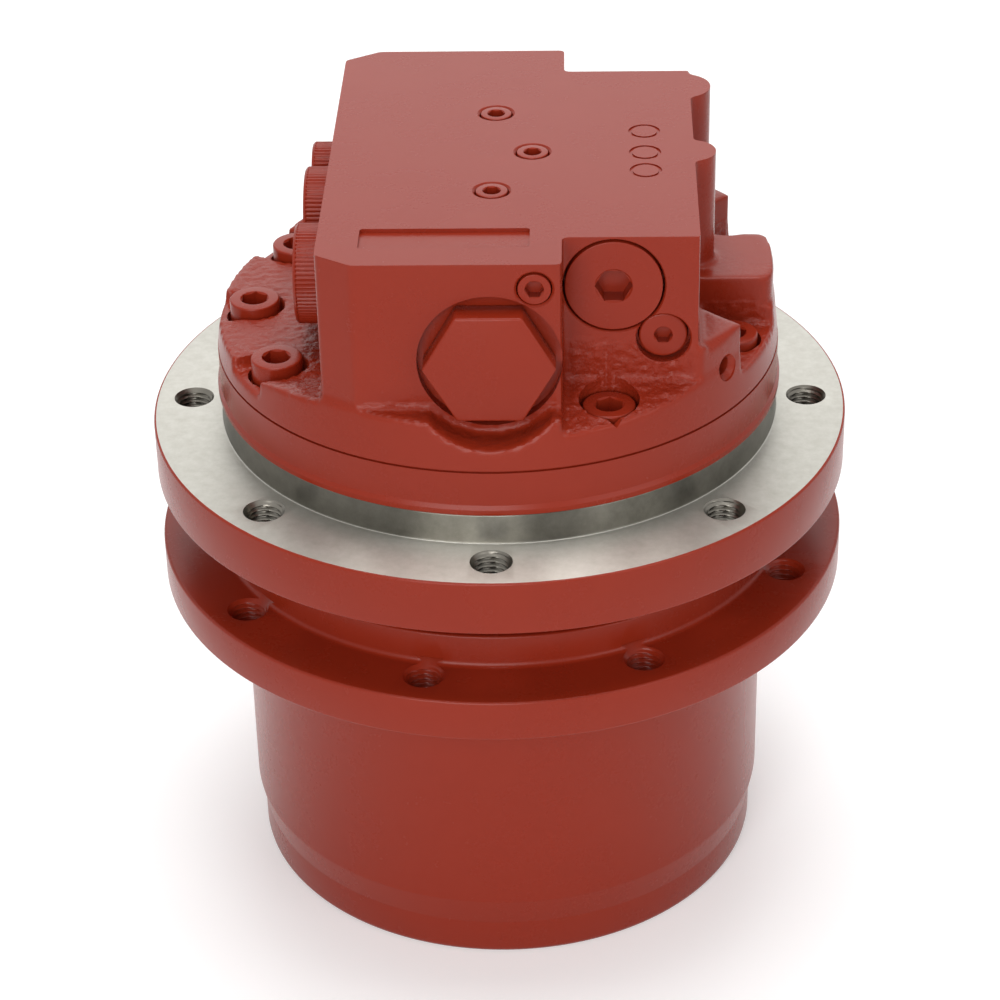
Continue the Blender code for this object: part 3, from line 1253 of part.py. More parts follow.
def cut_ports(casing):
    """Two work ports into the spool bore and one drain port, all on the left."""
    left = facing((-1.0, 0.0, 0.0))
    reach = BLOCK_LEFT - SPOOL_RADIUS / 2
    port = turned(
        [
            (0.0, -reach),
            (PASSAGE_RADIUS, -reach),
            (PASSAGE_RADIUS, -PORT_DEPTH),
            (PORT_RADIUS, -PORT_DEPTH),
            (PORT_RADIUS, CUT_OVER),
            (0.0, CUT_OVER),
        ]
    )
    places = [at(-BLOCK_LEFT, y, SPOOL_HEIGHT) @ left for y in (-PORT_HALF_PITCH, PORT_HALF_PITCH)]
    cut(casing, moved(port, *places), "work_ports")
    drain = disc(DRAIN_RADIUS, -DRAIN_DEPTH, CUT_OVER)
    cut(casing, moved(drain, at(-BLOCK_LEFT, DRAIN_Y, SPOOL_HEIGHT) @ left), "drain_port")


def build_casing():
    """Valve casing: turned foot, cast band, block, and all that is cut into them."""
    foot = [
        (0.0, CASING_BASE),
        (CASING_FOOT_RADIUS, CASING_BASE),
        (CASING_FOOT_RADIUS, FOOT_TOP),
        (CASING_BAND_RADIUS, FOOT_TOP),
        (CASING_BAND_TOP_RADIUS, BAND_TOP),
        (0.0, BAND_TOP),
    ]
    casing = put("valve_casing", turned(foot, OUTSIDE_SEGMENTS), RED_PAINT)
    add(casing, prism(block_outline(), FOOT_TOP, BLOCK_TOP), "block")
    add_casting_forms(casing)
    cut_slanted_facet(casing)
    cut_screw_pockets(casing)
    cut_spool_bore(casing)
    cut_face_plugs(casing)
    cut_top_marks(casing)
    cut_ports(casing)
    seat = hole(VALVE_PLATE_RADIUS, CASING_BASE - CUT_OVER, VALVE_PLATE_TOP + SEAT_GAP)
    cut(casing, seat, "valve_plate_seat")
    pocket = hole(NEEDLE_BEARING_RADIUS, VALVE_PLATE_TOP, TOP_BEARING_TOP + SEAT_GAP)
    cut(casing, pocket, "bearing_pocket")


def build_spool_parts():
    """Counterbalance spool and the two hexagon plugs that close its bore."""
    across = at(0.0, 0.0, SPOOL_HEIGHT) @ facing((0.0, 1.0, 0.0))
    edge = SPOOL_HALF_LENGTH
    half = SPOOL_GROOVE_WIDTH / 2
    profile = [(0.0, -edge), (SPOOL_RADIUS, -edge)]
    for middle in (-PORT_HALF_PITCH, PORT_HALF_PITCH):
        profile += [
            (SPOOL_RADIUS, middle - half),
            (SPOOL_WAIST_RADIUS, middle - half),
            (SPOOL_WAIST_RADIUS, middle + half),
            (SPOOL_RADIUS, middle + half),
        ]
    profile += [(SPOOL_RADIUS, edge), (0.0, edge)]
    put("counterbalance_spool", moved(turned(profile), across), GROUND_STEEL)
    corner = HEX_PLUG_ACROSS_FLATS / 2 / math.cos(math.pi / 6)
    face = BLOCK_DEEP + HEX_PLUG_PROUD
    seat = face - HEX_PLUG_HEAD
    head = prism(polygon(6, corner), seat, face)
    shank = disc(HEX_PLUG_SHANK_RADIUS, seat - HEX_PLUG_SHANK_LENGTH, seat + SEAT_GAP)
    for label, side in (("front", -1.0), ("back", 1.0)):
        outward = at(0.0, 0.0, SPOOL_HEIGHT) @ facing((0.0, side, 0.0))
        plug = put(f"spool_plug_{label}", moved(head, outward), RED_PAINT)
        add(plug, moved(shank, outward), "shank")


def build_plugs():
    """Relief valves, gauge plug, orifice plug and the three gallery plugs."""
    relief = socket_screw(
        RELIEF_RADIUS,
        RELIEF_HEAD_DEPTH,
        RELIEF_SHANK_RADIUS,
        RELIEF_LENGTH - RELIEF_HEAD_DEPTH,
        RELIEF_SOCKET_RADIUS,
        RELIEF_SOCKET_DEPTH,
    )
    for label, side in (("front", -1.0), ("back", 1.0)):
        seat = side * (BLOCK_SHALLOW - RELIEF_HEAD_DEPTH)
        place = at(RELIEF_X, seat, RELIEF_HEIGHT) @ facing((0.0, side, 0.0))
        place_plug(f"relief_valve_{label}", relief, place, RED_PAINT)
    front = facing((0.0, -1.0, 0.0))
    gauge = socket_screw(
        GAUGE_RADIUS,
        GAUGE_LENGTH / 2,
        GAUGE_RADIUS - SMALL_PLUG_THREAD_STEP,
        GAUGE_LENGTH / 2,
        GAUGE_SOCKET_RADIUS,
        SMALL_PLUG_SOCKET_DEPTH,
    )
    seat = -BLOCK_SHALLOW - GAUGE_PROUD + GAUGE_LENGTH / 2
    place_plug("gauge_plug", gauge, at(GAUGE_X, seat, GAUGE_HEIGHT) @ front, RED_PAINT)
    small = socket_screw(
        SMALL_PLUG_RADIUS,
        SMALL_PLUG_LENGTH / 2,
        SMALL_PLUG_RADIUS - SMALL_PLUG_THREAD_STEP,
        SMALL_PLUG_LENGTH / 2,
        SMALL_PLUG_SOCKET_RADIUS,
        SMALL_PLUG_SOCKET_DEPTH,
    )
    seat = -BLOCK_DEEP + SMALL_PLUG_LENGTH / 2
    place_plug("orifice_plug", small, at(ORIFICE_X, seat, ORIFICE_HEIGHT) @ front, RED_PAINT)
    seat = BLOCK_TOP - SMALL_PLUG_LENGTH / 2
    for index, (x, y) in enumerate(GALLERY_PLACES, 1):
        place_plug(f"gallery_plug_{index}", small, at(x, y, seat), RED_PAINT)


def build_casing_bolts():
    """Seven socket head screws that hold the casing on the spindle."""
    parts = socket_screw(
        BOLT_HEAD_RADIUS,
        BOLT_HEAD_HEIGHT,
        BOLT_SHANK_RADIUS,
        BOLT_LENGTH,
        BOLT_SOCKET_RADIUS,
        BOLT_SOCKET_DEPTH,
    )
    for index, angle in enumerate(CASING_BOLT_ANGLES, 1):
        place = around(angle) @ at(0.0, -CASING_BOLT_CIRCLE, BOLT_SEAT + SEAT_GAP)
        place_plug(f"casing_bolt_{index}", parts, place, RED_PAINT)


def knurled_cap(radius, ridges, plug_radius):
    """A cap with ridges round its rim and a plug that enters the port."""
    rim = []
    for index in range(2 * ridges):
        angle = math.pi * index / ridges
        reach = radius if index % 2 else radius - KNURL_DEPTH
        rim.append((reach * math.cos(angle), reach * math.sin(angle)))
    head = prism(rim, SEAT_GAP, SEAT_GAP + PORT_CAP_THICKNESS)
    inside = segments(plug_radius)
    high = SEAT_GAP + PORT_CAP_THICKNESS / 2
    plug = disc(plug_radius - SEAT_GAP, -PORT_PLUG_LENGTH, high, count=inside)
    return head, plug


def build_port_caps():
    """Caps that close the two work ports and the drain port."""
    left = facing((-1.0, 0.0, 0.0))
    wide = knurled_cap(PORT_CAP_RADIUS, KNURL_RIDGES, PORT_RADIUS)
    narrow = knurled_cap(DRAIN_CAP_RADIUS, DRAIN_KNURL_RIDGES, DRAIN_RADIUS)
    rows = (
        ("port_cap_front", wide, -PORT_HALF_PITCH),
        ("port_cap_back", wide, PORT_HALF_PITCH),
        ("drain_cap", narrow, DRAIN_Y),
    )
    for name, (head, plug), y in rows:
        place = at(-BLOCK_LEFT, y, SPOOL_HEIGHT) @ left
        cap = put(name, moved(head, place), RED_PAINT)
        add(cap, moved(plug, place), "port_plug")


def main():
    """Build the drive from the hub upwards."""
    clear_scene()
    build_hub()
    build_end_cover()
    build_spindle()
    build_gear_train()
    build_main_bearings()
    build_floating_seal()
    build_shaft()
    build_swash_plate()
    build_slippers()
    build_cylinder_block()
    build_valve_plate()
    build_brake()
    build_casing()
    build_casing_bolts()
    build_spool_parts()
    build_plugs()
    build_port_caps()


main()
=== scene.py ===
"""Looks of an excavator final drive: painted castings, bare turned steel and the works inside.

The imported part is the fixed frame. Each class below holds the sizes of one sub-assembly in
millimetres, in the part's own frame with the axis along +Z, builds its fine meshes and dresses
them. Meshes are worked in millimetres and turned into metres when a piece is placed.
"""

import json
import logging
import math
from dataclasses import dataclass
from enum import Enum
from typing import Any, Iterable, Sequence

import bmesh
import bpy
import numpy as np
from mathutils import Matrix, Vector, noise

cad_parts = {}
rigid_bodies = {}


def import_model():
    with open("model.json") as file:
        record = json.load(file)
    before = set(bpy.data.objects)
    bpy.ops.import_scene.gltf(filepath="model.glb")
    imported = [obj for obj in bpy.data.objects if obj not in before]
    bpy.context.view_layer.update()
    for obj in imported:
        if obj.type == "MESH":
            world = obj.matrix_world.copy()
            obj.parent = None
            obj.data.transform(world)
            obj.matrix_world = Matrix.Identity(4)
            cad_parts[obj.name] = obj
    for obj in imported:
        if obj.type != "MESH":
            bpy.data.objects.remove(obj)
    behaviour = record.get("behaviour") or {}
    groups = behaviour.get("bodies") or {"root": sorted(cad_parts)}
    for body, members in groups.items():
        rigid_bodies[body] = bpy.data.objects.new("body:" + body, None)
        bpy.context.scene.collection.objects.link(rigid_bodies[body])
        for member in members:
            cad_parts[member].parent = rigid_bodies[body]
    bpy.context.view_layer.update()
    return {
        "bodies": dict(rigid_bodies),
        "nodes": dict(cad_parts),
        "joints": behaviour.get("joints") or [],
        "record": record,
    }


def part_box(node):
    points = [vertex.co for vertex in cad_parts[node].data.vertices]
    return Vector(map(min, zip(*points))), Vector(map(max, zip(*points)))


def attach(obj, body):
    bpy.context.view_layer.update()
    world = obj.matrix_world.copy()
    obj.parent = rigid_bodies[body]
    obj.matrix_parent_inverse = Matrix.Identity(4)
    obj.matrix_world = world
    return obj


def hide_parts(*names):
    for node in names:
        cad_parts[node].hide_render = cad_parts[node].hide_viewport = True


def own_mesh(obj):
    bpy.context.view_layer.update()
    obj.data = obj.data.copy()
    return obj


Corner = tuple[float, float, float]
Point = tuple[float, float]
Profile = tuple[Point, ...]

LOG = logging.getLogger("final_drive")

# One millimetre in metres, how far a tool stands past the face that it cuts, the facets round a
# large turned piece, and the angle from which an edge keeps its crease.
METRES = 0.001
OVER = 2.0
FINE = 192
SHARP = math.radians(32.0)

# Places that several sub-assemblies share: millimetres, and degrees from -Y towards +X.
SCREW_CIRCLE = 78.0
LEFT_SCREWS = (-120.0, -90.0, -60.0)
SCREW_TURNS = (27.0, 72.0, 108.0, 153.0, *LEFT_SCREWS)
WORK_PORTS = (-20.5, 20.5)
DRAIN_PORT = 50.5
GALLERY_PLACES = ((0.0, 28.0), (12.0, -1.0), (0.0, -28.5))


class Body(Enum):
    """The bodies that the pieces made here ride on."""

    FRAME = "frame_side"
    HUB = "hub"


class Work(Enum):
    """What one shape does to another."""

    AWAY = "DIFFERENCE"
    JOIN = "UNION"


# Numbers and node trees


def linear(code: str) -> tuple[float, float, float, float]:
    """Turn an sRGB hex value into a linear colour.

    Args:
        code: Six hex digits, with or without a leading hash.

    Returns:
        Red, green, blue and an alpha of one.
    """
    text = code.lstrip("#")
    parts = [int(text[index : index + 2], 16) / 255.0 for index in (0, 2, 4)]
    straight = [v / 12.92 if v <= 0.04045 else ((v + 0.055) / 1.055) ** 2.4 for v in parts]
    return (*straight, 1.0)


def add_node(
    tree: bpy.types.NodeTree,
    kind: str,
    inputs: dict[str | int, Any] | None = None,
    **settings: Any,
) -> bpy.types.Node:
    """Add a node with its settings, its values and its links.

    Args:
        tree: The tree that gets the node.
        kind: The node's type name.
        inputs: Values, or output sockets to link, by input name or index.
        **settings: Properties of the node itself.

    Returns:
        The new node.
    """
    node = tree.nodes.new(kind)
    for key, value in settings.items():
        setattr(node, key, value)
    for key, value in (inputs or {}).items():
        if isinstance(value, bpy.types.NodeSocket):
            tree.links.new(value, node.inputs[key])
        else:
            node.inputs[key].default_value = value
    return node


def per_metre(size: float) -> float:
    """The scale of a texture whose features are this many millimetres wide."""
    return 1.0 / (size * METRES)


# Finishes


@dataclass(frozen=True)
class Finish:
    """What every finish has: its name, the record's slot, two colours and a roughness."""

    name: str
    slot: str
    tone: str = "#C2C2BE"
    stain: str = "#A9A9A4"
    roughness: float = 0.26

    def shader(self, tree: bpy.types.NodeTree) -> dict[str, Any]:
        """The inputs of the main shader, with the nodes that feed them."""
        raise NotImplementedError

    def patches(
        self,
        tree: bpy.types.NodeTree,
        size: float,
        detail: float,
        rough: float = 0.5,
        edges: Point = (0.0, 1.0),
        gloss: Point = (0.05, 0.05),
    ) -> dict[str, Any]:
        """Let the two colours drift into each other, with a gloss that follows them.

        Args:
            tree: The material's tree.
            size: How wide a patch is, in millimetres.
            detail: How many finer layers the patches have.
            rough: How strong the finer layers are.
            edges: Where in the noise the second colour starts and where it is full.
            gloss: How far the roughness goes below and above its middle.

        Returns:
            The main shader's colour and roughness.
        """
        place = add_node(tree, "ShaderNodeTexCoord").outputs["Object"]
        cloud = {"Vector": place, "Scale": per_metre(size), "Detail": detail, "Roughness": rough}
        noise_out = add_node(tree, "ShaderNodeTexNoise", cloud).outputs["Fac"]
        span = {0: noise_out, 1: edges[0], 2: edges[1]}
        share = add_node(tree, "ShaderNodeMapRange", span).outputs[0]
        colours = {0: share, 6: linear(self.tone), 7: linear(self.stain)}
        mix = add_node(tree, "ShaderNodeMix", colours, data_type="RGBA")
        span = {0: noise_out, 3: self.roughness - gloss[0], 4: self.roughness + gloss[1]}
        dull = add_node(tree, "ShaderNodeMapRange", span)
        return {"Base Color": mix.outputs[2], "Roughness": dull.outputs[0]}

    def skin(
        self,
        tree: bpy.types.NodeTree,
        size: float,
        depth: float,
        detail: float,
        rough: float = 0.5,
        **links: bpy.types.NodeSocket,
    ) -> bpy.types.NodeSocket:
        """Bend the surface as a grain does.

        Args:
            tree: The material's tree.
            size: How wide a grain is, in millimetres.
            depth: How deep it is, in millimetres.
            detail: How many finer layers the grain has.
            rough: How strong the finer layers are.
            **links: The amount of grain at each place, and the normal under it.

        Returns:
            The bent normal.
        """
        place = add_node(tree, "ShaderNodeTexCoord").outputs["Object"]
        grain = {"Vector": place, "Scale": per_metre(size), "Detail": detail, "Roughness": rough}
        height = add_node(tree, "ShaderNodeTexNoise", grain).outputs["Fac"]
        if "amount" in links:
            part = {0: height, 1: links["amount"]}
            height = add_node(tree, "ShaderNodeMath", part, operation="MULTIPLY").outputs[0]
        bump = {"Height": height, "Distance": depth * METRES}
        if "under" in links:
            bump["Normal"] = links["under"]
        return add_node(tree, "ShaderNodeBump", bump).outputs["Normal"]

    def material(self) -> bpy.types.Material:
        """The finish as a material, made once.

        Returns:
            The material of this name.
        """
        found = bpy.data.materials.get(self.name)
        if found is not None:
            return found
        made = bpy.data.materials.new(self.name)
        made.use_nodes = True
        tree = made.node_tree
        tree.nodes.clear()
        main = add_node(tree, "ShaderNodeBsdfPrincipled", self.shader(tree))
        add_node(tree, "ShaderNodeOutputMaterial", {"Surface": main.outputs["BSDF"]})
        return made


@dataclass(frozen=True)
class Primer(Finish):
    """Satin oxide red primer, sprayed over cast iron or over turned faces.

    The film is even and slightly soft in its gloss, and its red drifts over clouds a few
    centimetres wide, as a spray gun leaves it. Its orange peel is too fine to see and is drawn
    1.6 mm wide, so that it still breaks the gleam. Over cast iron it keeps the mould's sand grain.
    """

    tone: str = "#8D2A16"
    stain: str = "#832513"
    roughness: float = 0.27
    gloss_level: float = 0.2
    cloud_size: float = 38.0
    peel_size: float = 1.6
    peel_depth: float = 0.02
    grain_size: float = 1.9
    grain_depth: float = 0.0

    def shader(self, tree: bpy.types.NodeTree) -> dict[str, Any]:
        """Clouds of two reds under an orange peel, and sand grain where the casting has it.

        Args:
            tree: The material's tree.

        Returns:
            The main shader's inputs.
        """
        normal = self.skin(tree, self.peel_size, self.peel_depth, 2.0)
        if self.grain_depth:
            amount = add_node(tree, "ShaderNodeAttribute", attribute_name="grain").outputs["Fac"]
            sizes = (self.grain_size, self.grain_depth, 4.0, 0.6)
            normal = self.skin(tree, *sizes, amount=amount, under=normal)
        looks = self.patches(tree, self.cloud_size, 9.0, 0.72)
        return looks | {"Normal": normal, "IOR": 1.5, "Specular IOR Level": self.gloss_level}


@dataclass(frozen=True)
class TurnedSteel(Finish):
    """Bare carbon steel off the lathe, whose fine rings spread its gleam into bow ties.

    A lathe's feed of about 0.2 mm is too fine to show, so the rings are drawn 0.55 mm apart. Faint
    stains a few millimetres wide are what fingers and oil leave.
    """

    tone: str = "#B7B5AD"
    stain: str = "#A8A59C"
    roughness: float = 0.33
    ring_pitch: float = 0.55
    ring_depth: float = 0.004
    stain_size: float = 4.0
    anisotropy: float = 0.92

    def shader(self, tree: bpy.types.NodeTree) -> dict[str, Any]:
        """Metal with a round grain: rings by distance from the axis and a tangent round it.

        Args:
            tree: The material's tree.

        Returns:
            The main shader's inputs.
        """
        place = add_node(tree, "ShaderNodeTexCoord").outputs["Object"]
        axes = add_node(tree, "ShaderNodeSeparateXYZ", {0: place}).outputs
        flat = add_node(tree, "ShaderNodeCombineXYZ", {0: axes["X"], 1: axes["Y"]}).outputs[0]
        radius = add_node(tree, "ShaderNodeVectorMath", {0: flat}, operation="LENGTH")
        turns = {0: radius.outputs["Value"], 1: axes["Z"]}
        along = add_node(tree, "ShaderNodeMath", turns, operation="ADD").outputs[0]
        lines = {"W": along, "Scale": per_metre(self.ring_pitch), "Detail": 2.0}
        rings = add_node(tree, "ShaderNodeTexNoise", lines, noise_dimensions="1D").outputs["Fac"]
        relief = {"Height": rings, "Distance": self.ring_depth * METRES}
        back = add_node(tree, "ShaderNodeMath", {0: axes["Y"], 1: -1.0}, operation="MULTIPLY")
        circle = add_node(tree, "ShaderNodeCombineXYZ", {0: back.outputs[0], 1: axes["X"]})
        return self.patches(tree, self.stain_size, 7.0, 0.7, (0.35, 0.75), (0.01, 0.01)) | {
            "Metallic": 1.0,
            "Anisotropic": self.anisotropy,
            "Anisotropic Rotation": 0.25,
            "Normal": add_node(tree, "ShaderNodeBump", relief).outputs["Normal"],
            "Tangent": circle.outputs[0],
        }


@dataclass(frozen=True)
class PlainMetal(Finish):
    """Ground, cast or sintered stuff without a direction, with faint blotches and a fine grain.

    Grinding grit is far finer than the 0.9 mm that is drawn, which only takes the mirror away.
    """

    metallic: float = 1.0
    grain_size: float = 0.9
    grain_depth: float = 0.004
    blotch_size: float = 14.0

    def shader(self, tree: bpy.types.NodeTree) -> dict[str, Any]:
        """Blotched metal with a fine bump.

        Args:
            tree: The material's tree.

        Returns:
            The main shader's inputs.
        """
        looks = self.patches(tree, self.blotch_size, 4.0, gloss=(0.05, 0.07))
        normal = self.skin(tree, self.grain_size, self.grain_depth, 3.0)
        return looks | {"Metallic": self.metallic, "Normal": normal}


# Grey iron cast in sand, then sprayed: edges look soft, hollows show the mould's grain.
CAST_PRIMER = Primer("primer_over_cast_iron", "red_paint", grain_depth=0.55)
# The same film over turned iron and steel: even, with a soft gleam.
SMOOTH_PRIMER = Primer("primer_over_turned_faces", "red_paint")
# Carbon steel, faced dry: the brightest face, with a silky gleam across its rings.
FLANGE_STEEL = TurnedSteel("turned_carbon_steel", "bare_steel")
# The same steel under preserving oil: darker and warmer, its stains run together.
SPIGOT_STEEL = TurnedSteel(
    "oiled_turned_steel", "bare_steel", "#75726A", "#4A4841", roughness=0.32, stain_size=26.0
)
# Tapped flanks wet with cutting oil: dark roots between light crests.
THREAD_STEEL = PlainMetal(
    "oiled_thread_steel", "bare_steel", "#8A867E", "#5B574F", roughness=0.3
)
# Hardened bearing and gear steel, ground: pale, even and fairly sharp.
GROUND_STEEL = PlainMetal("ground_bearing_steel", "ground_steel")
# Plain milled or turned steel: greyer and duller.
DULL_STEEL = PlainMetal(
    "dull_machined_steel", "bare_steel", "#A3A29D", "#84837D", roughness=0.38
)
# Tempered spring steel: its blue-grey oxide darkens it.
SPRING_STEEL = PlainMetal(
    "blued_spring_steel", "bare_steel", "#6E6F72", "#4C4D51", roughness=0.36
)
# Leaded bronze, lapped: warm and satin.
BRONZE = PlainMetal("bearing_bronze", "bronze", "#B98A45", "#9A6D31", roughness=0.34)
# Moulded nitrile rubber: nearly black and matt.
RUBBER = PlainMetal(
    "nitrile_rubber", "rubber", "#1B1B1B", "#141414", roughness=0.7, metallic=0.0
)
# Sintered lining: brown-grey, open-grained and quite matt.
LINING = PlainMetal(
    "sintered_friction_lining",
    "friction_lining",
    "#4A4038",
    "#37302A",
    roughness=0.8,
    metallic=0.0,
    grain_size=0.7,
    grain_depth=0.05,
)


# Mesh work, all in millimetres


def mesh_from(verts: Sequence[Sequence[float]], faces: Sequence[Sequence[int]]) -> bpy.types.Mesh:
    """Make a closed mesh with its faces turned outwards.

    Args:
        verts: The points.
        faces: The faces as lists of point numbers.

    Returns:
        The mesh.
    """
    mesh = bpy.data.meshes.new("shape")
    mesh.from_pydata(verts, [], faces)
    shape = bmesh.new()
    shape.from_mesh(mesh)
    bmesh.ops.recalc_face_normals(shape, faces=shape.faces)
    shape.to_mesh(mesh)
    shape.free()
    return mesh


def rounded(corners: Iterable[Corner], steps: int = 4) -> list[Point]:
    """Round the corners of a closed outline.

    Args:
        corners: Points with the radius of their round, which may be zero.
        steps: Facets in each round.

    Returns:
        The outline with its arcs.
    """
    rows = list(corners)
    outline: list[Point] = []
    for index, (x, y, radius) in enumerate(rows):
        here = Vector((x, y))
        before = Vector(rows[index - 1][:2]) - here
        after = Vector(rows[(index + 1) % len(rows)][:2]) - here
        if radius <= 0.0:
            outline.append((x, y))
            continue
        before.normalize()
        after.normalize()
        half = before.angle(after) / 2.0
        centre = here + (before + after).normalized() * (radius / math.sin(half))
        reach = radius / math.tan(half)
        start = here + before * reach - centre
        end = here + after * reach - centre
        sweep = start.angle_signed(end)
        for step in range(steps + 1):
            turn = -sweep * step / steps
            outline.append(
                (
                    centre.x + start.x * math.cos(turn) - start.y * math.sin(turn),
                    centre.y + start.x * math.sin(turn) + start.y * math.cos(turn),
                )
            )
    return outline


def turned(profile: Sequence[Point], steps: int = FINE) -> bpy.types.Mesh:
    """Spin a closed profile about the Z axis.

    Args:
        profile: Points as radius and height; a radius of zero lies on the axis.
        steps: Facets round the axis.

    Returns:
        The turned solid.
    """
    verts: list[tuple[float, float, float]] = []
    rings: list[list[int]] = []
    angles = [2.0 * math.pi * step / steps for step in range(steps)]
    for radius, height in profile:
        first = len(verts)
        if radius < 1e-6:
            verts.append((0.0, 0.0, height))
            rings.append([first])
        else:
            verts += [(radius * math.cos(a), radius * math.sin(a), height) for a in angles]
            rings.append(list(range(first, first + steps)))
    faces: list[tuple[int, ...]] = []
    for index, ring in enumerate(rings):
        other = rings[index - 1]
        if len(ring) == 1 and len(other) == 1:
            continue
        for step in range(steps):
            after = (step + 1) % steps
            if len(other) == 1:
                faces.append((other[0], ring[step], ring[after]))
            elif len(ring) == 1:
                faces.append((ring[0], other[after], other[step]))
            else:
                faces.append((other[step], ring[step], ring[after], other[after]))
    return mesh_from(verts, faces)


def stepped(steps: Sequence[Point], facets: int = FINE) -> bpy.types.Mesh:
    """A solid turned from its steps of radius and height, closed at the axis."""
    return turned([(0.0, steps[0][1]), *steps, (0.0, steps[-1][1])], facets)


def rod(radius: float, low: float, high: float, facets: int = 64) -> bpy.types.Mesh:
    """A plain cylinder along Z."""
    return stepped([(radius, low), (radius, high)], facets)


def hoop(
    inner: float, outer: float, low: float, high: float, facets: int = FINE
) -> bpy.types.Mesh:
    """A ring of square section round Z."""
    return turned([(inner, low), (outer, low), (outer, high), (inner, high)], facets)


def prism(outline: Sequence[Point], low: float, high: float) -> bpy.types.Mesh:
    """Extrude a closed outline from one height to another.

    Args:
        outline: The outline seen from above.
        low: The lower height.
        high: The upper height.

    Returns:
        The prism.
    """
    count = len(outline)
    verts = [(x, y, low) for x, y in outline] + [(x, y, high) for x, y in outline]
    faces = [list(range(count)), list(range(count, 2 * count))]
    for index in range(count):
        before = (index - 1) % count
        faces.append([before, index, index + count, before + count])
    return mesh_from(verts, faces)


def box(low: Corner, high: Corner) -> bpy.types.Mesh:
    """A box between two corners."""
    outline = [(low[0], low[1]), (high[0], low[1]), (high[0], high[1]), (low[0], high[1])]
    return prism(outline, low[2], high[2])


def polygon(sides: int, radius: float, start: float = 0.0) -> list[Point]:
    """The corners of a regular polygon."""
    turns = [start + 2.0 * math.pi * side / sides for side in range(sides)]
    return [(radius * math.cos(turn), radius * math.sin(turn)) for turn in turns]


def at(x: float, y: float, z: float) -> Matrix:
    """A move without a turn."""
    return Matrix.Translation((x, y, z))


def facing(x: float, y: float, z: float) -> Matrix:
    """A turn that takes +Z to this direction."""
    return Vector((x, y, z)).to_track_quat("Z", "Y").to_matrix().to_4x4()


def clockwise_from_front(angle: float, radius: float, height: float = 0.0) -> Matrix:
    """A place on a circle, its angle in degrees counted from -Y towards +X, turned to face out."""
    return Matrix.Rotation(math.radians(angle), 4, "Z") @ at(0.0, -radius, height)


def bolt_circle(turns: Iterable[float], radius: float, height: float = 0.0) -> list[Matrix]:
    """Places on a circle at these angles."""
    return [clockwise_from_front(turn, radius, height) for turn in turns]


def evenly(count: int, first: float = 0.0) -> list[float]:
    """Angles that share a full turn, in degrees."""
    return [first + 360.0 * index / count for index in range(count)]


def joined(*meshes: bpy.types.Mesh) -> bpy.types.Mesh:
    """Several meshes as one, without joining their solids.

    Args:
        *meshes: The meshes.

    Returns:
        One mesh with all of them.
    """
    shape = bmesh.new()
    for mesh in meshes:
        shape.from_mesh(mesh)
    result = bpy.data.meshes.new("shape")
    shape.to_mesh(result)
    shape.free()
    return result


def moved(mesh: bpy.types.Mesh, *places: Matrix) -> bpy.types.Mesh:
    """Copies of a mesh at these places, as one mesh.

    Args:
        mesh: The shape.
        *places: Where each copy goes.

    Returns:
        One mesh with all the copies.
    """
    copies = []
    for place in places:
        copy = mesh.copy()
        copy.transform(place)
        copies.append(copy)
    return joined(*copies)


def mirrored(mesh: bpy.types.Mesh) -> bpy.types.Mesh:
    """A copy of a mesh on the other side of the plane y = 0."""
    verts = [(vertex.co.x, -vertex.co.y, vertex.co.z) for vertex in mesh.vertices]
    return mesh_from(verts, [list(face.vertices) for face in mesh.polygons])


def along_x(mesh: bpy.types.Mesh) -> bpy.types.Mesh:
    """A prism whose outline was given as y and z, turned so that its height runs along X."""
    verts = [(vertex.co.z, vertex.co.x, vertex.co.y) for vertex in mesh.vertices]
    return mesh_from(verts, [list(face.vertices) for face in mesh.polygons])


def scratch(mesh: bpy.types.Mesh) -> bpy.types.Object:
    """A passing object that carries a mesh through a modifier.

    Args:
        mesh: The mesh.

    Returns:
        The object.
    """
    thing = bpy.data.objects.new("scratch", mesh)
    bpy.context.scene.collection.objects.link(thing)
    return thing


def settled(thing: bpy.types.Object, *helpers: bpy.types.Object) -> bpy.types.Mesh:
    """The mesh that an object's modifiers give; the object and its helpers are removed.

    Args:
        thing: The object with its modifiers.
        *helpers: Objects that the modifiers use.

    Returns:
        The finished mesh.
    """
    graph = bpy.context.evaluated_depsgraph_get()
    mesh = bpy.data.meshes.new_from_object(thing.evaluated_get(graph), depsgraph=graph)
    for old in (thing, *helpers):
        bpy.data.objects.remove(old, do_unlink=True)
    return mesh


def worked(
    mesh: bpy.types.Mesh, how: Work, *tools: bpy.types.Mesh, exact: bool = False
) -> bpy.types.Mesh:
    """Cut shapes away from a mesh, or join them to it.

    Args:
        mesh: The shape that is worked.
        how: What the tools do.
        *tools: Closed shapes, used in this order.
        exact: Use the slower solver that stands coplanar faces.

    Returns:
        The worked mesh.
    """
    thing = scratch(mesh)
    helpers = []
    for tool in tools:
        helper = scratch(tool)
        step = thing.modifiers.new("work", "BOOLEAN")
        step.operation = how.value
        step.solver = "EXACT" if exact else "MANIFOLD"
        step.object = helper
        helpers.append(helper)
    return settled(thing, *helpers)


def eased(mesh: bpy.types.Mesh, width: float, steps: int = 2) -> bpy.types.Mesh:
    """Round every sharp edge of a mesh by a small width.

    Args:
        mesh: The mesh, which is changed.
        width: How far the round reaches.
        steps: Facets in each round.

    Returns:
        The same mesh.
    """
    shape = bmesh.new()
    shape.from_mesh(mesh)
    edges = [e for e in shape.edges if e.is_manifold and e.calc_face_angle(0.0) > SHARP]
    bmesh.ops.bevel(
        shape,
        geom=edges,
        offset=width,
        offset_type="OFFSET",
        segments=steps,
        profile=0.5,
        affect="EDGES",
        clamp_overlap=True,
    )
    shape.to_mesh(mesh)
    shape.free()
    return mesh


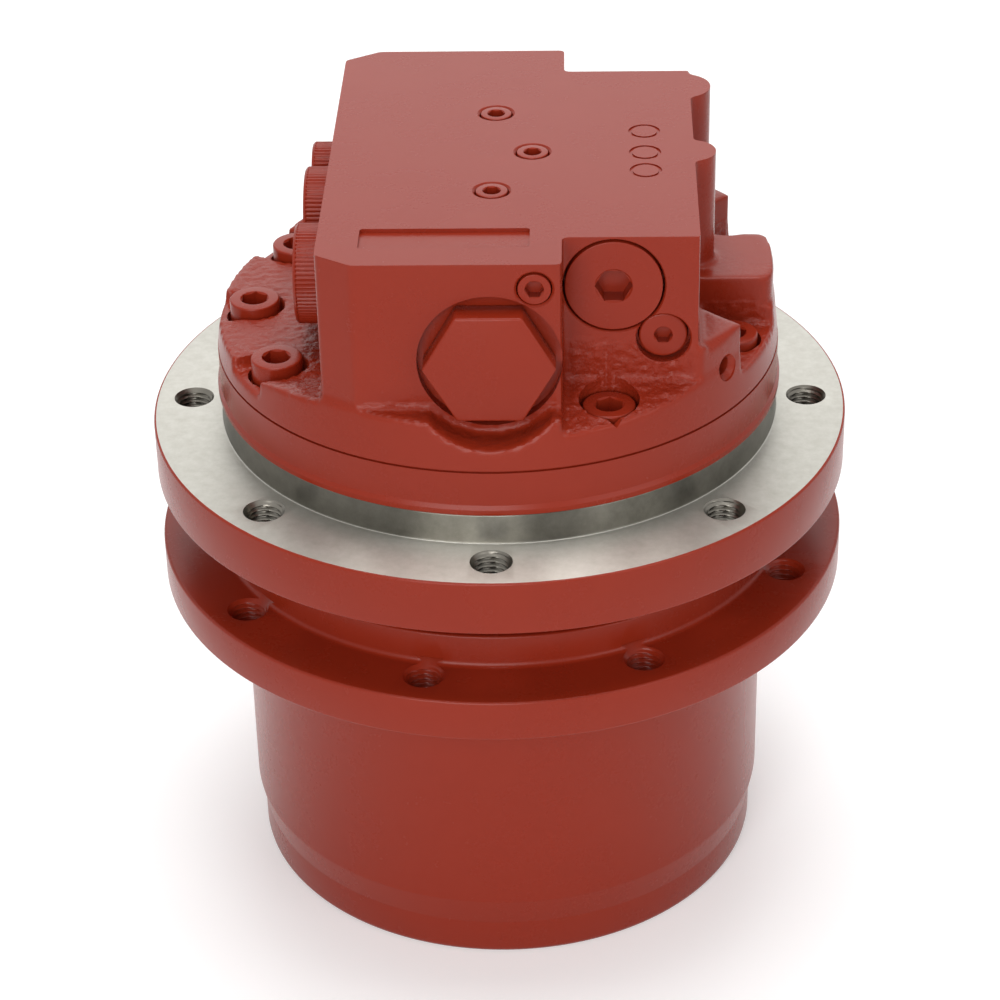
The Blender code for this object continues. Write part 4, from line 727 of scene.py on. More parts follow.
class RepeatTree:
    """Geometry Nodes that set copies of one part on points, each with its own turn."""

    def __init__(self) -> None:
        """Build the tree with its named inputs."""
        tree = bpy.data.node_groups.new("repeat_part", "GeometryNodeTree")
        face = tree.interface
        face.new_socket("Points", in_out="INPUT", socket_type="NodeSocketGeometry")
        self.part = face.new_socket("Part", in_out="INPUT", socket_type="NodeSocketObject")
        self.finish = face.new_socket("Finish", in_out="INPUT", socket_type="NodeSocketMaterial")
        face.new_socket("Copies", in_out="OUTPUT", socket_type="NodeSocketGeometry")
        given = add_node(tree, "NodeGroupInput")
        part = add_node(tree, "GeometryNodeObjectInfo", {"Object": given.outputs["Part"]})
        turn = add_node(
            tree, "GeometryNodeInputNamedAttribute", {"Name": "turn"}, data_type="FLOAT_VECTOR"
        )
        spread = add_node(
            tree,
            "GeometryNodeInstanceOnPoints",
            {
                "Points": given.outputs["Points"],
                "Instance": part.outputs["Geometry"],
                "Rotation": turn.outputs["Attribute"],
            },
        )
        real = add_node(tree, "GeometryNodeRealizeInstances", {0: spread.outputs[0]})
        dressed = add_node(
            tree,
            "GeometryNodeSetMaterial",
            {"Geometry": real.outputs[0], "Material": given.outputs["Finish"]},
        )
        add_node(tree, "NodeGroupOutput", {0: dressed.outputs[0]})
        self.tree = tree

    def spread(
        self, part: bpy.types.Mesh, places: Sequence[Matrix], finish: Finish
    ) -> bpy.types.Mesh:
        """Copies of a part at these places.

        Args:
            part: The part, at the origin.
            places: Where each copy goes.
            finish: The finish of all the copies.

        Returns:
            One mesh with all the copies.
        """
        points = bpy.data.meshes.new("points")
        points.from_pydata([place.translation for place in places], [], [])
        turns = points.attributes.new("turn", "FLOAT_VECTOR", "POINT")
        for index, place in enumerate(places):
            turns.data[index].vector = place.to_euler("XYZ")
        thing, helper = scratch(points), scratch(part)
        step = thing.modifiers.new("repeat", "NODES")
        step.node_group = self.tree
        step[self.part.identifier] = helper
        step[self.finish.identifier] = finish.material()
        return settled(thing, helper)


class ThreadTree:
    """Geometry Nodes that shape a rod into the tool that cuts a tapped hole.

    The radius of each point follows the height and the angle, as the flank of a thread does, and
    opens to a cone at both mouths.
    """

    def __init__(self) -> None:
        """Build the tree with its named inputs."""
        tree = bpy.data.node_groups.new("tapped_hole", "GeometryNodeTree")
        face = tree.interface
        names = ("Major Radius", "Minor Radius", "Pitch", "Length", "Depth", "Chamfer")
        self.inputs = {
            name: face.new_socket(name, in_out="INPUT", socket_type="NodeSocketFloat")
            for name in names
        }
        self.rows = face.new_socket("Rows", in_out="INPUT", socket_type="NodeSocketInt")
        face.new_socket("Tool", in_out="OUTPUT", socket_type="NodeSocketGeometry")
        given = add_node(tree, "NodeGroupInput").outputs

        blank = add_node(
            tree,
            "GeometryNodeMeshCylinder",
            {
                "Vertices": 36,
                "Side Segments": given["Rows"],
                "Radius": 1.0,
                "Depth": given["Length"],
            },
        )
        place = add_node(tree, "GeometryNodeInputPosition").outputs[0]
        split = add_node(tree, "ShaderNodeSeparateXYZ", {0: place}).outputs
        known: dict[str, bpy.types.NodeSocket] = {axis: split[axis.upper()] for axis in "xyz"}
        known |= {name: given[name] for name in names}
        sums = (
            ("angle", "ARCTAN2", "y", "x"),
            ("share", "DIVIDE", "angle", 2.0 * math.pi),
            ("rise", "DIVIDE", "z", "Pitch"),
            ("turns", "SUBTRACT", "rise", "share"),
            ("sway", "PINGPONG", "turns", 0.5),
            ("wave", "MULTIPLY", "sway", 2.0),
            ("slope", "SUBTRACT", "wave", 0.12),
            ("flat", "DIVIDE", "slope", 0.76),
            ("lower", "MAXIMUM", "flat", 0.0),
            ("tooth", "MINIMUM", "lower", 1.0),
            ("height", "SUBTRACT", "Major Radius", "Minor Radius"),
            ("lift", "MULTIPLY", "tooth", "height"),
            ("flank", "ADD", "lift", "Minor Radius"),
            ("reach", "ABSOLUTE", "z", 0.0),
            ("half", "DIVIDE", "Depth", 2.0),
            ("beyond", "SUBTRACT", "reach", "half"),
            ("mouth", "ADD", "Major Radius", "Chamfer"),
            ("cone", "ADD", "mouth", "beyond"),
            ("radius", "MAXIMUM", "flank", "cone"),
            ("out x", "MULTIPLY", "x", "radius"),
            ("out y", "MULTIPLY", "y", "radius"),
        )
        for name, operation, first, second in sums:
            values = {0: known.get(first, first), 1: known.get(second, second)}
            node = add_node(tree, "ShaderNodeMath", values, operation=operation)
            known[name] = node.outputs[0]
        offset = add_node(
            tree, "ShaderNodeCombineXYZ", {0: known["out x"], 1: known["out y"], 2: known["z"]}
        ).outputs[0]
        shaped = add_node(
            tree,
            "GeometryNodeSetPosition",
            {"Geometry": blank.outputs["Mesh"], "Position": offset},
        )
        add_node(tree, "NodeGroupOutput", {0: shaped.outputs[0]})
        self.tree = tree

    def tool(
        self, major: float, minor: float, pitch: float, depth: float, chamfer: float
    ) -> bpy.types.Mesh:
        """The tool for a tapped hole through a plate that is centred on zero.

        Args:
            major: Radius at the roots of the hole's thread.
            minor: Radius at its crests.
            pitch: Rise of one turn.
            depth: Thickness of the plate.
            chamfer: How much wider the mouth is than the thread.

        Returns:
            The tool, along Z.
        """
        thing = scratch(bpy.data.meshes.new("blank"))
        step = thing.modifiers.new("thread", "NODES")
        step.node_group = self.tree
        length = depth + 2.0 * OVER
        values = (major, minor, pitch, length, depth, chamfer)
        for socket, value in zip(self.inputs.values(), values):
            step[socket.identifier] = value
        step[self.rows.identifier] = round(8.0 * length / pitch)
        return settled(thing)


@dataclass
class Workshop:
    """The Geometry Nodes that several sub-assemblies share, and the flanges' M12 thread."""

    repeat: RepeatTree
    thread: ThreadTree
    major: float = 6.0
    minor: float = 5.1
    pitch: float = 1.75
    mouth: float = 0.5

    def taps(
        self, places: Sequence[Matrix], thickness: float, finish: Finish
    ) -> bpy.types.Mesh:
        """The tools that tap a flange of this thickness, at its mid-plane."""
        tool = self.thread.tool(self.major, self.minor, self.pitch, thickness, self.mouth)
        return self.repeat.spread(tool, places, finish)


def place_piece(
    name: str,
    mesh: bpy.types.Mesh,
    stands_for: Sequence[str],
    body: Body = Body.FRAME,
    finishes: Sequence[Finish] = (SMOOTH_PRIMER,),
    numbers: np.ndarray | None = None,
) -> bpy.types.Object:
    """Turn a mesh in millimetres into a finished piece at its place.

    Args:
        name: The piece's name.
        mesh: Its mesh, in the part's frame.
        stands_for: The CAD nodes that it replaces.
        body: The body that it rides on.
        finishes: Its finishes, in the order of the faces' material numbers.
        numbers: Which finish each face has, where there are several.

    Returns:
        The piece.
    """
    mesh.transform(Matrix.Scale(METRES, 4))
    mesh.name = name
    mesh.materials.clear()
    for finish in finishes:
        mesh.materials.append(finish.material())
    if numbers is not None:
        mesh.polygons.foreach_set("material_index", numbers.astype(np.int32))
    mesh.shade_smooth()
    mesh.set_sharp_from_angle(angle=SHARP)
    piece = bpy.data.objects.new(name, mesh)
    bpy.context.scene.collection.objects.link(piece)
    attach(piece, body.value)
    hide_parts(*stands_for)
    LOG.info("%s: %d faces on %s", name, len(mesh.polygons), body.value)
    return piece


def coordinates(items: bpy.types.bpy_prop_collection, name: str) -> np.ndarray:
    """Read three numbers of each point or face of a mesh.

    Args:
        items: The mesh's points, faces or normals.
        name: What is read.

    Returns:
        One row for each item.
    """
    rows = np.zeros(len(items) * 3, np.float32)
    items.foreach_get(name, rows)
    return rows.reshape(-1, 3)


# Sub-assemblies


@dataclass
class HubDrum:
    """The turning hub: nose, drum, sprocket flange, neck and ring gear."""

    nose_radius: float = 85.0
    nose_height: float = 13.0
    drum_radius: float = 87.0
    drum_start: float = 23.0
    flange_radius: float = 112.5
    flange_base: float = 107.0
    flange_top: float = 121.0
    neck_radius: float = 93.0
    neck_top: float = 132.0
    holes: int = 9
    hole_circle: float = 100.0
    first_hole: float = 27.5
    # The rim and the bore from the top down, as radius, height and round: seal chamber, upper
    # bearing, shoulder, ring gear, cover seat and the groove of its ring.
    rim: float = 78.0
    bore: tuple[Corner, ...] = (
        (79.2, 122.7, 0.6),
        (76.3, 122.7, 0.3),
        (76.3, 84.0, 0.3),
        (72.3, 84.0, 0.3),
        (72.3, 63.8, 0.3),
        (66.2, 63.8, 0.4),
        (66.2, 16.2, 0.4),
        (72.3, 16.2, 0.3),
        (72.3, 13.3, 0.3),
        (76.3, 13.3, 0.3),
        (76.3, 4.0, 0.1),
        (78.3, 4.0, 0.1),
        (78.3, 1.4, 0.1),
        (76.3, 1.4, 0.1),
        (76.3, 0.4, 0.1),
    )

    def profile(self) -> list[Point]:
        """The outside and the stepped bore, as one closed profile.

        Returns:
            Points as radius and height.
        """
        outside = [
            (self.rim, 0.0, 0.8),
            (self.nose_radius, 0.0, 2.5),
            (self.nose_radius, self.nose_height, 1.0),
            (self.drum_radius, self.drum_start, 6.0),
            (self.drum_radius, self.flange_base, 2.5),
            (self.flange_radius, self.flange_base, 0.9),
            (self.flange_radius, self.flange_top, 0.9),
            (self.neck_radius, self.flange_top, 1.8),
            (self.neck_radius, self.neck_top, 0.8),
            (self.bore[0][0], self.neck_top, 0.5),
        ]
        return rounded([*outside, *self.bore])

    def build(self, shop: Workshop) -> None:
        """Build the hub and dress it.

        Args:
            shop: The Geometry Nodes.
        """
        middle = (self.flange_base + self.flange_top) / 2.0
        places = bolt_circle(evenly(self.holes, self.first_hole), self.hole_circle, middle)
        taps = shop.taps(places, self.flange_top - self.flange_base, SMOOTH_PRIMER)
        drum = worked(turned(self.profile()), Work.AWAY, taps)
        place_piece("hub_drum", drum, ["hub"], Body.HUB)


@dataclass
class Spindle:
    """The still spindle: frame flange with its bare face and spigot, neck and stem."""

    flange_radius: float = 112.5
    flange_base: float = 146.0
    flange_top: float = 164.0
    spigot_radius: float = 90.0
    spigot_top: float = 174.0
    skirt_radius: float = 90.5
    skirt_base: float = 134.0
    holes: int = 8
    hole_circle: float = 100.0
    # The casing's screw holes and the pins' seats: radius, floor and mouth of each.
    screw_hole: Corner = (5.3, 157.2, 176.0)
    pin_seat: Corner = (9.3, 62.0, 78.8)
    pin_circle: float = 45.375
    pin_turns: Corner = (180.0, 300.0, 60.0)
    # Where the bare face ends towards the bore, and how wide the steel shows in a tapped hole.
    bare_from: float = 79.0
    tap_reach: float = 6.45
    # The stem with its bearing seats and seal chamber, and the bore with the brake's two steps,
    # the motor's chamber and the shaft bearing, as radius, height and round.
    stem: tuple[Corner, ...] = (
        (15.3, 64.5, 0.3),
        (57.7, 64.5, 0.8),
        (57.7, 118.9, 0.4),
        (63.0, 118.9, 0.6),
        (63.0, 143.3, 1.2),
        (79.2, 143.3, 0.6),
    )
    bore: tuple[Corner, ...] = (
        (62.0, 160.0, 0.3),
        (58.0, 160.0, 0.3),
        (58.0, 150.0, 0.3),
        (47.0, 150.0, 0.4),
        (47.0, 82.5, 0.8),
        (16.3, 82.5, 0.3),
        (16.3, 73.1, 0.2),
        (12.0, 73.1, 0.3),
        (12.0, 71.1, 0.3),
        (15.3, 71.1, 0.2),
    )

    def profile(self) -> list[Point]:
        """The spindle as one closed profile.

        Returns:
            Points as radius and height.
        """
        flange = [
            (self.stem[-1][0], self.skirt_base, 0.5),
            (self.skirt_radius, self.skirt_base, 0.7),
            (self.skirt_radius, self.flange_base, 1.5),
            (self.flange_radius, self.flange_base, 0.9),
            (self.flange_radius, self.flange_top, 0.7),
            (self.spigot_radius, self.flange_top, 0.6),
            (self.spigot_radius, self.spigot_top, 0.6),
            (self.bore[0][0], self.spigot_top, 0.4),
        ]
        return rounded([*self.stem, *flange, *self.bore])

    def build(self, shop: Workshop) -> None:
        """Build the spindle, its tapped holes and its bare faces.

        Args:
            shop: The Geometry Nodes.
        """
        middle = (self.flange_base + self.flange_top) / 2.0
        places = bolt_circle(evenly(self.holes), self.hole_circle, middle)
        taps = shop.taps(places, self.flange_top - self.flange_base, THREAD_STEEL)
        screws = moved(rod(*self.screw_hole, 32), *bolt_circle(SCREW_TURNS, SCREW_CIRCLE))
        pins = moved(rod(*self.pin_seat, 48), *bolt_circle(self.pin_turns, self.pin_circle))
        body = worked(turned(self.profile()), Work.AWAY, taps, screws, pins)
        numbers = self.finish_numbers(body, places)
        finishes = [SMOOTH_PRIMER, FLANGE_STEEL, THREAD_STEEL, SPIGOT_STEEL]
        place_piece("frame_spindle", body, ["spindle"], Body.FRAME, finishes, numbers)

    def finish_numbers(self, mesh: bpy.types.Mesh, places: Sequence[Matrix]) -> np.ndarray:
        """Paint on the rim and below, bare steel on the top face, oily on spigot and threads.

        Args:
            mesh: The spindle.
            places: The middles of its tapped holes.

        Returns:
            A material number for each face.
        """
        centres = coordinates(mesh.polygons, "center")
        radius = np.hypot(centres[:, 0], centres[:, 1])
        bare = centres[:, 2] > self.flange_top - 0.01
        numbers = np.where(bare | (radius < self.bare_from), 1, 0)
        numbers[(radius > self.bare_from) & (radius < self.spigot_radius + 0.1) & bare] = 3
        for place in places:
            spot = place.translation
            near = np.hypot(centres[:, 0] - spot.x, centres[:, 1] - spot.y) < self.tap_reach
            numbers[near & (centres[:, 2] < self.flange_top - 0.02)] = 2
        return numbers


@dataclass
class ValveCasing:
    """The valve casing: a rough casting with its machined foot, faces, bores and seats."""

    foot_radius: float = 90.9
    foot_base: float = 174.3
    foot_top: float = 189.0
    band_radius: float = 90.0
    band_top_radius: float = 88.5
    band_top: float = 204.0
    top: float = 252.0
    left: float = -51.0
    right: float = 62.3
    deep: float = 78.0
    shallow: float = 60.5
    step: float = 21.5
    lug_top: float = 214.5
    lug_radius: float = 88.0
    seat: float = 190.3
    spool_height: float = 220.0
    relief_x: float = 36.8
    relief_height: float = 235.7
    gauge_x: float = 51.7
    gauge_height: float = 218.0
    orifice_x: float = 13.5
    orifice_height: float = 243.8
    land_top: float = 198.0
    hole_turn: float = 54.0
    hole_height: float = 203.3
    hole_reach: float = 88.0
    nick_turn: float = 25.0
    nick_reach: float = 90.0
    pocket: float = 9.4
    pocket_depth: float = 3.8
    lug_base: float = 184.0
    # Front and back edge of the side lug, and the round of its corners.
    side_edges: Point = (-14.5, 17.0)
    side_round: float = 4.5
    # Radius and place of the two ribs on the right face, and where the smaller starts.
    small_rib: Corner = (7.6, 61.5, -1.0)
    large_rib: Corner = (9.5, 59.6, 48.5)
    small_rib_base: float = 212.0
    notch_radius: float = 24.3
    # What is left on the top for the cutter to face.
    stock: float = 5.0
    pebble: float = 1.8
    pebble_depth: float = 0.62
    fine_pebble: float = 0.9
    fine_share: float = 0.4
    voxel: float = 0.9
    smoothing: int = 5
    # Seats as radius and height: the spool's from the middle, the others from their face.
    spool_seat: Profile = ((15.3, 53.0), (15.3, 74.4), (21.6, 74.4), (21.6, 100.0))
    relief_seat: Profile = (
        *((9.3, -34.3), (9.3, -10.3), (15.3, -10.3), (15.3, -0.5), (15.7, 0.0), (15.7, 12.0)),
    )
    gauge_seat: Profile = (
        *((7.6, -14.3), (7.6, -4.5), (8.2, -4.5), (8.2, -0.4), (8.6, 0.0), (8.6, 12.0)),
    )
    small_seat: Profile = ((5.3, -8.3), (5.3, -0.7), (6.0, 0.0), (6.0, OVER))
    port_seat: Profile = (
        *((6.0, -46.5), (6.0, -22.0), (10.0, -22.0), (10.0, -1.0), (11.0, 0.0), (11.0, OVER)),
    )
    drain_seat: Profile = ((6.0, -24.0), (6.0, OVER))
    side_hole: Profile = ((2.9, -9.0), (2.9, -1.4), (4.4, 0.2), (4.4, 8.0))
    # The marks behind the gallery plugs, and the bare frame: left, front, right and back edge.
    mark_x: float = 47.0
    marks: Corner = (-15.0, -2.0, 13.6)
    frame: tuple[float, float, float, float] = (-38.5, -67.0, 12.0, -54.3)
    frame_depth: float = 1.2
    # Radius and reach of the spool's bore, recess of the valve plate, bore of the shaft.
    spool_bore: Point = (9.3, 54.0)
    plate_recess: Point = (36.3, 176.3)
    shaft_bore: Point = (16.3, 189.1)
    screw_bore: float = 5.3
    screw_mouth: float = 9.2

    def side_lug(self) -> bpy.types.Mesh:
        """The lug on the right face, its outer corners rounded as cast.

        Returns:
            The lug.
        """
        inner = self.right - 1.5
        front, back = self.side_edges
        corner = self.side_round
        rows = [(inner, front, 0.0)]
        for y, turn in ((front, corner), (-5.0, 0.0), (1.3, 0.0), (7.6, 0.0), (back, corner)):
            rows.append((math.sqrt(self.lug_radius**2 - y**2), y, turn))
        rows.append((inner, back, 0.0))
        return prism(rounded(rows), self.lug_base, self.lug_top)

    def corner_lug(self, side: float) -> bpy.types.Mesh:
        """The lug that carries the block's corner round the rim, at the front or the back.

        Args:
            side: Minus one at the front, one at the back.

        Returns:
            The lug.
        """
        rows = [(60.0, 33.6), (63.6, 33.6)]
        turns = [math.radians(turn) for turn in (59.4, 56.0, 52.6, 49.3, 46.0)]
        rows += [(self.lug_radius * math.sin(t), self.lug_radius * math.cos(t)) for t in turns]
        rows.append((60.0, 61.1))
        return prism([(x, side * y) for x, y in rows], self.lug_base, self.lug_top)

    def lug_edge(self, side: float) -> bpy.types.Mesh:
        """What is taken off the sloping outer edge of a corner lug.

        Args:
            side: Minus one at the front, one at the back.

        Returns:
            The cutting shape.
        """
        edge = at(0.0, -85.8, self.lug_top) @ Matrix.Rotation(math.radians(45.0), 4, "X")
        place = Matrix.Rotation(math.radians(46.3), 4, "Z") @ edge
        shape = moved(box((2.5, -12.0, 0.0), (30.0, 0.0, 12.0)), place)
        return shape if side < 0.0 else mirrored(shape)

    def low_lands(self) -> bpy.types.Mesh:
        """What is taken off the band beside the block's left face, sloping up to its corners.

        Returns:
            The cutting shape.
        """
        rows = [(-95.0, 204.0), (-72.0, 203.0), (-57.0, 200.6), (-49.0, self.land_top)]
        rows += [(-y, z) for y, z in reversed(rows)]
        outline = [*rows, (95.0, 214.0), (-95.0, 214.0)]
        return along_x(prism(outline, -100.0, self.left))

    def low_ledge(self, side: float) -> bpy.types.Mesh:
        """What is taken off the band under a shallow face, sloping down to the rim.

        Args:
            side: Minus one at the front, one at the back.

        Returns:
            The cutting shape.
        """
        near, far = side * self.shallow, side * 96.0
        outline = [(near, self.band_top), (far, 197.6), (far, 212.0), (near, 212.0)]
        return along_x(prism(outline, self.step, self.right + 2.5))

    def pockets(self) -> list[bpy.types.Mesh]:
        """Openings round the screws, towards the rim on the left and between the lugs.

        Returns:
            The cutting shapes.
        """
        arc = [math.pi * step / 16.0 for step in range(17)]
        outline = [(self.pocket * math.cos(a), self.pocket * math.sin(a)) for a in arc]
        outline += [(-self.pocket, -22.0), (self.pocket, -22.0)]
        roof = 226.0
        blank = prism(outline, self.land_top - self.pocket_depth, roof)
        open_left = moved(blank, *bolt_circle(LEFT_SCREWS, SCREW_CIRCLE))
        wide = [(64.4, 14.5), (100.0, 14.5), (100.0, 67.0), (76.0, 45.0), (63.7, 33.7)]
        front = prism([(x, -y) for x, y in wide], self.land_top, roof)
        wide = [(64.4, 17.0), (100.0, 17.0), *wide[2:]]
        return [open_left, front, prism(wide, self.land_top, roof)]

    def rough_casting(self) -> bpy.types.Mesh:
        """The casting before it is machined: all its forms, their edges rounded as cast.

        Returns:
            The rough casting.
        """
        band = stepped(
            [
                (self.band_radius, self.lug_base),
                (self.band_radius, self.foot_top),
                (self.band_top_radius, self.band_top),
            ]
        )
        front = [
            (self.left, -71.0),
            (-40.0, -self.deep),
            (self.step, -self.deep),
            (self.step, -self.shallow),
            (self.right, -self.shallow),
        ]
        outline = front + [(x, -y) for x, y in reversed(front)]
        notch = rod(self.notch_radius, self.deep, 95.0, 48)
        cuts = [self.low_lands(), *self.pockets()]
        for side in (-1.0, 1.0):
            cuts.append(self.low_ledge(side))
            cuts.append(moved(notch, at(0.0, 0.0, self.spool_height) @ facing(0.0, side, 0.0)))
        band = worked(band, Work.AWAY, *cuts, exact=True)
        raw_top = self.top + self.stock
        small, large = self.small_rib, self.large_rib
        forms = [
            prism(outline, 184.5, raw_top),
            moved(rod(small[0], self.small_rib_base, raw_top), at(small[1], small[2], 0.0)),
            moved(rod(large[0], 185.0, raw_top), at(large[1], large[2], 0.0)),
            self.side_lug(),
            self.corner_lug(-1.0),
            self.corner_lug(1.0),
        ]
        body = worked(band, Work.JOIN, *forms, exact=True)
        body = worked(body, Work.AWAY, self.lug_edge(-1.0), self.lug_edge(1.0), exact=True)
        thing = scratch(body)
        step = thing.modifiers.new("skin", "REMESH")
        step.mode = "VOXEL"
        step.voxel_size = self.voxel
        step = thing.modifiers.new("rounding", "SMOOTH")
        step.factor = 0.5
        step.iterations = self.smoothing
        skin = settled(thing)
        self.roughen(skin)
        return skin

    def grain_at(self, points: np.ndarray) -> np.ndarray:
        """How much sand grain the casting shows at these points.

        Args:
            points: One row for each point.

        Returns:
            One where the moulding sand shows most, zero on machined faces.
        """
        x, y, z = points.T
        amount = np.full(len(points), 0.16, np.float32)
        outside = np.hypot(x, y) < 87.0
        amount[(z < 206.0) & (z > self.foot_top + 1.0) & outside] = 0.6
        low = np.clip((220.0 - z) / 6.0, 0.0, 1.0) * np.clip((x - self.step) / 3.0, 0.0, 1.0)
        low *= np.clip((62.0 - x) / 6.0, 0.2, 1.0)
        amount = np.maximum(amount, np.where(np.abs(y) > self.shallow - 2.0, low, 0.0))
        amount[(z > self.top - 0.01) | (z < self.foot_top + 0.01) | (np.hypot(x, y) > 88.2)] = 0.0
        return amount

    def roughen(self, mesh: bpy.types.Mesh) -> None:
        """Move the casting's points in and out as the sand left them.

        Args:
            mesh: The rough casting, which is changed.
        """
        points = coordinates(mesh.vertices, "co")
        normals = coordinates(mesh.vertex_normals, "vector")
        amounts = self.grain_at(points)
        lifts = np.zeros(len(points), np.float32)
        for index in np.nonzero(amounts > 0.2)[0]:
            place = Vector(points[index])
            fine = noise.noise(place / self.fine_pebble)
            lifts[index] = noise.noise(place / self.pebble) + self.fine_share * fine
        lifts *= amounts * self.pebble_depth
        points += normals * lifts[:, None]
        mesh.vertices.foreach_set("co", points.ravel())
        mesh.update()

    def bores(self) -> list[bpy.types.Mesh]:
        """Everything that is machined into the casting.

        Returns:
            The cutting shapes, in the order of the cuts.
        """
        spool = at(0.0, 0.0, self.spool_height)
        front, left = facing(0.0, -1.0, 0.0), facing(-1.0, 0.0, 0.0)
        tools = [box((-120.0, -120.0, self.top), (120.0, 120.0, 300.0))]
        for side in (-1.0, 1.0):
            out = facing(0.0, side, 0.0)
            relief = at(self.relief_x, side * self.shallow, self.relief_height)
            tools.append(moved(stepped(self.spool_seat, 96), spool @ out))
            tools.append(moved(stepped(self.relief_seat, 96), relief @ out))
        radius, reach = self.spool_bore
        tools.append(moved(rod(radius, -reach, reach), spool @ facing(0.0, 1.0, 0.0)))
        orifice = at(self.orifice_x, -self.deep, self.orifice_height) @ front
        ports = [at(self.left, y, self.spool_height) @ left for y in (*WORK_PORTS, DRAIN_PORT)]
        screws = bolt_circle(SCREW_TURNS, SCREW_CIRCLE)
        shank = ((self.screw_bore, 170.0), (self.screw_bore, self.seat + OVER))
        mouth = ((self.screw_mouth, self.seat), (self.screw_mouth, 216.0))
        for steps, facets, places in (
            (self.gauge_seat, 64, [at(self.gauge_x, -self.shallow, self.gauge_height) @ front]),
            (self.small_seat, 48, [orifice]),
            (self.small_seat, 48, [at(x, y, self.top) for x, y in GALLERY_PLACES]),
            (self.port_seat, 64, ports[:2]),
            (self.drain_seat, 48, ports[2:]),
            (shank, 32, screws),
            (mouth, 64, screws),
        ):
            tools.append(moved(stepped(steps, facets), *places))
        tools.append(rod(self.plate_recess[0], 170.0, self.plate_recess[1]))
        tools.append(rod(self.shaft_bore[0], 175.0, self.shaft_bore[1]))
        tools.append(moved(hoop(89.2, 92.0, -0.35, 0.35), at(0.0, 0.0, self.foot_top)))
        spots = (at(self.mark_x, y, self.top) for y in self.marks)
        tools.append(moved(hoop(4.0, 5.0, -0.45, OVER, 48), *spots))
        hole = stepped(self.side_hole, 48)
        rim = clockwise_from_front(self.hole_turn, self.hole_reach, self.hole_height)
        hole.transform(rim @ front)
        nick = box((-3.0, -8.0, -3.0), (3.0, 8.0, 3.0))
        nick = moved(nick, Matrix.Rotation(math.pi / 4.0, 4, "Y"))
        nick.transform(clockwise_from_front(self.nick_turn, self.nick_reach, self.land_top + 5.0))
        tools += [hole, mirrored(hole), nick, mirrored(nick)]
        west, south, east, north = self.frame
        corners = ((west, south), (east, south), (east, north), (west, north))
        frame = rounded([(*corner, 1.0) for corner in corners])
        tools.append(prism(frame, self.top - self.frame_depth, self.top + OVER))
        return tools

    def foot(self) -> bpy.types.Mesh:
        """The turned foot that stands on the spigot, with the lip at its base.

        Returns:
            The foot.
        """
        rows = [
            (0.0, self.foot_base, 0.0),
            (self.foot_radius, self.foot_base, 0.4),
            (self.foot_radius, self.foot_base + 1.9, 0.3),
            (self.foot_radius - 0.8, self.foot_base + 3.2, 0.6),
            (self.foot_radius - 0.8, self.foot_top, 0.3),
            (0.0, self.foot_top, 0.0),
        ]
        return turned(rounded(rows))

    def build(self) -> None:
        """Build the casing and dress it."""
        body = self.rough_casting()
        LOG.info("rough casting: %d faces", len(body.polygons))
        floor = box((-120.0, -120.0, 160.0), (120.0, 120.0, 187.0))
        body = worked(body, Work.AWAY, floor)
        body = worked(body, Work.JOIN, self.foot())
        body = worked(body, Work.AWAY, *self.bores())
        amount = self.grain_at(coordinates(body.vertices, "co"))
        body.attributes.new("grain", "FLOAT", "POINT").data.foreach_set("value", amount)
        turned_faces = coordinates(body.polygons, "center")[:, 2] < self.foot_top + 0.01
        finishes = [CAST_PRIMER, SMOOTH_PRIMER]
        name = "valve_casing_casting"
        place_piece(name, body, ["valve_casing"], Body.FRAME, finishes, turned_faces)


@dataclass(frozen=True)
class SocketPlug:
    """A screw or plug with a hexagon socket, its seat at zero and its head up.

    Where its sizes are given in a row, they stand in the order of the fields.
    """

    head_radius: float
    head_height: float
    shank_radius: float
    length: float
    socket_radius: float
    socket_depth: float
    edge: float = 0.5

    def mesh(self) -> bpy.types.Mesh:
        """The screw as a closed mesh.

        Returns:
            The screw, its seat at zero and its axis along Z.
        """
        top, socket = self.head_height, self.socket_radius
        rows = [
            (0.0, -self.length, 0.0),
            (self.shank_radius, -self.length, 0.4),
            (self.shank_radius, 0.0, 0.0),
            (self.head_radius, 0.0, 0.2),
            (self.head_radius, top, self.edge),
            (0.0, top, 0.0),
        ]
        hexagon = prism(polygon(6, socket), top - self.socket_depth, top + OVER)
        mouth = stepped([(socket - 0.5, top - 0.5), (socket + 0.3, top + 0.3)], 48)
        return worked(turned(rounded(rows), 64), Work.AWAY, hexagon, mouth)


@dataclass
class CasingScrews:
    """Seven M10 socket head screws that hold the casing on the spindle."""

    screw: SocketPlug = SocketPlug(8.0, 10.0, 5.0, 32.0, 4.6, 5.0, 0.6)
    seat: float = 190.6

    def build(self, shop: Workshop) -> None:
        """Set the screws on their circle.

        Args:
            shop: The Geometry Nodes.
        """
        places = bolt_circle(SCREW_TURNS, SCREW_CIRCLE, self.seat)
        mesh = shop.repeat.spread(self.screw.mesh(), places, SMOOTH_PRIMER)
        nodes = [f"casing_bolt_{index}" for index in range(1, len(places) + 1)]
        place_piece("casing_screws", mesh, nodes)


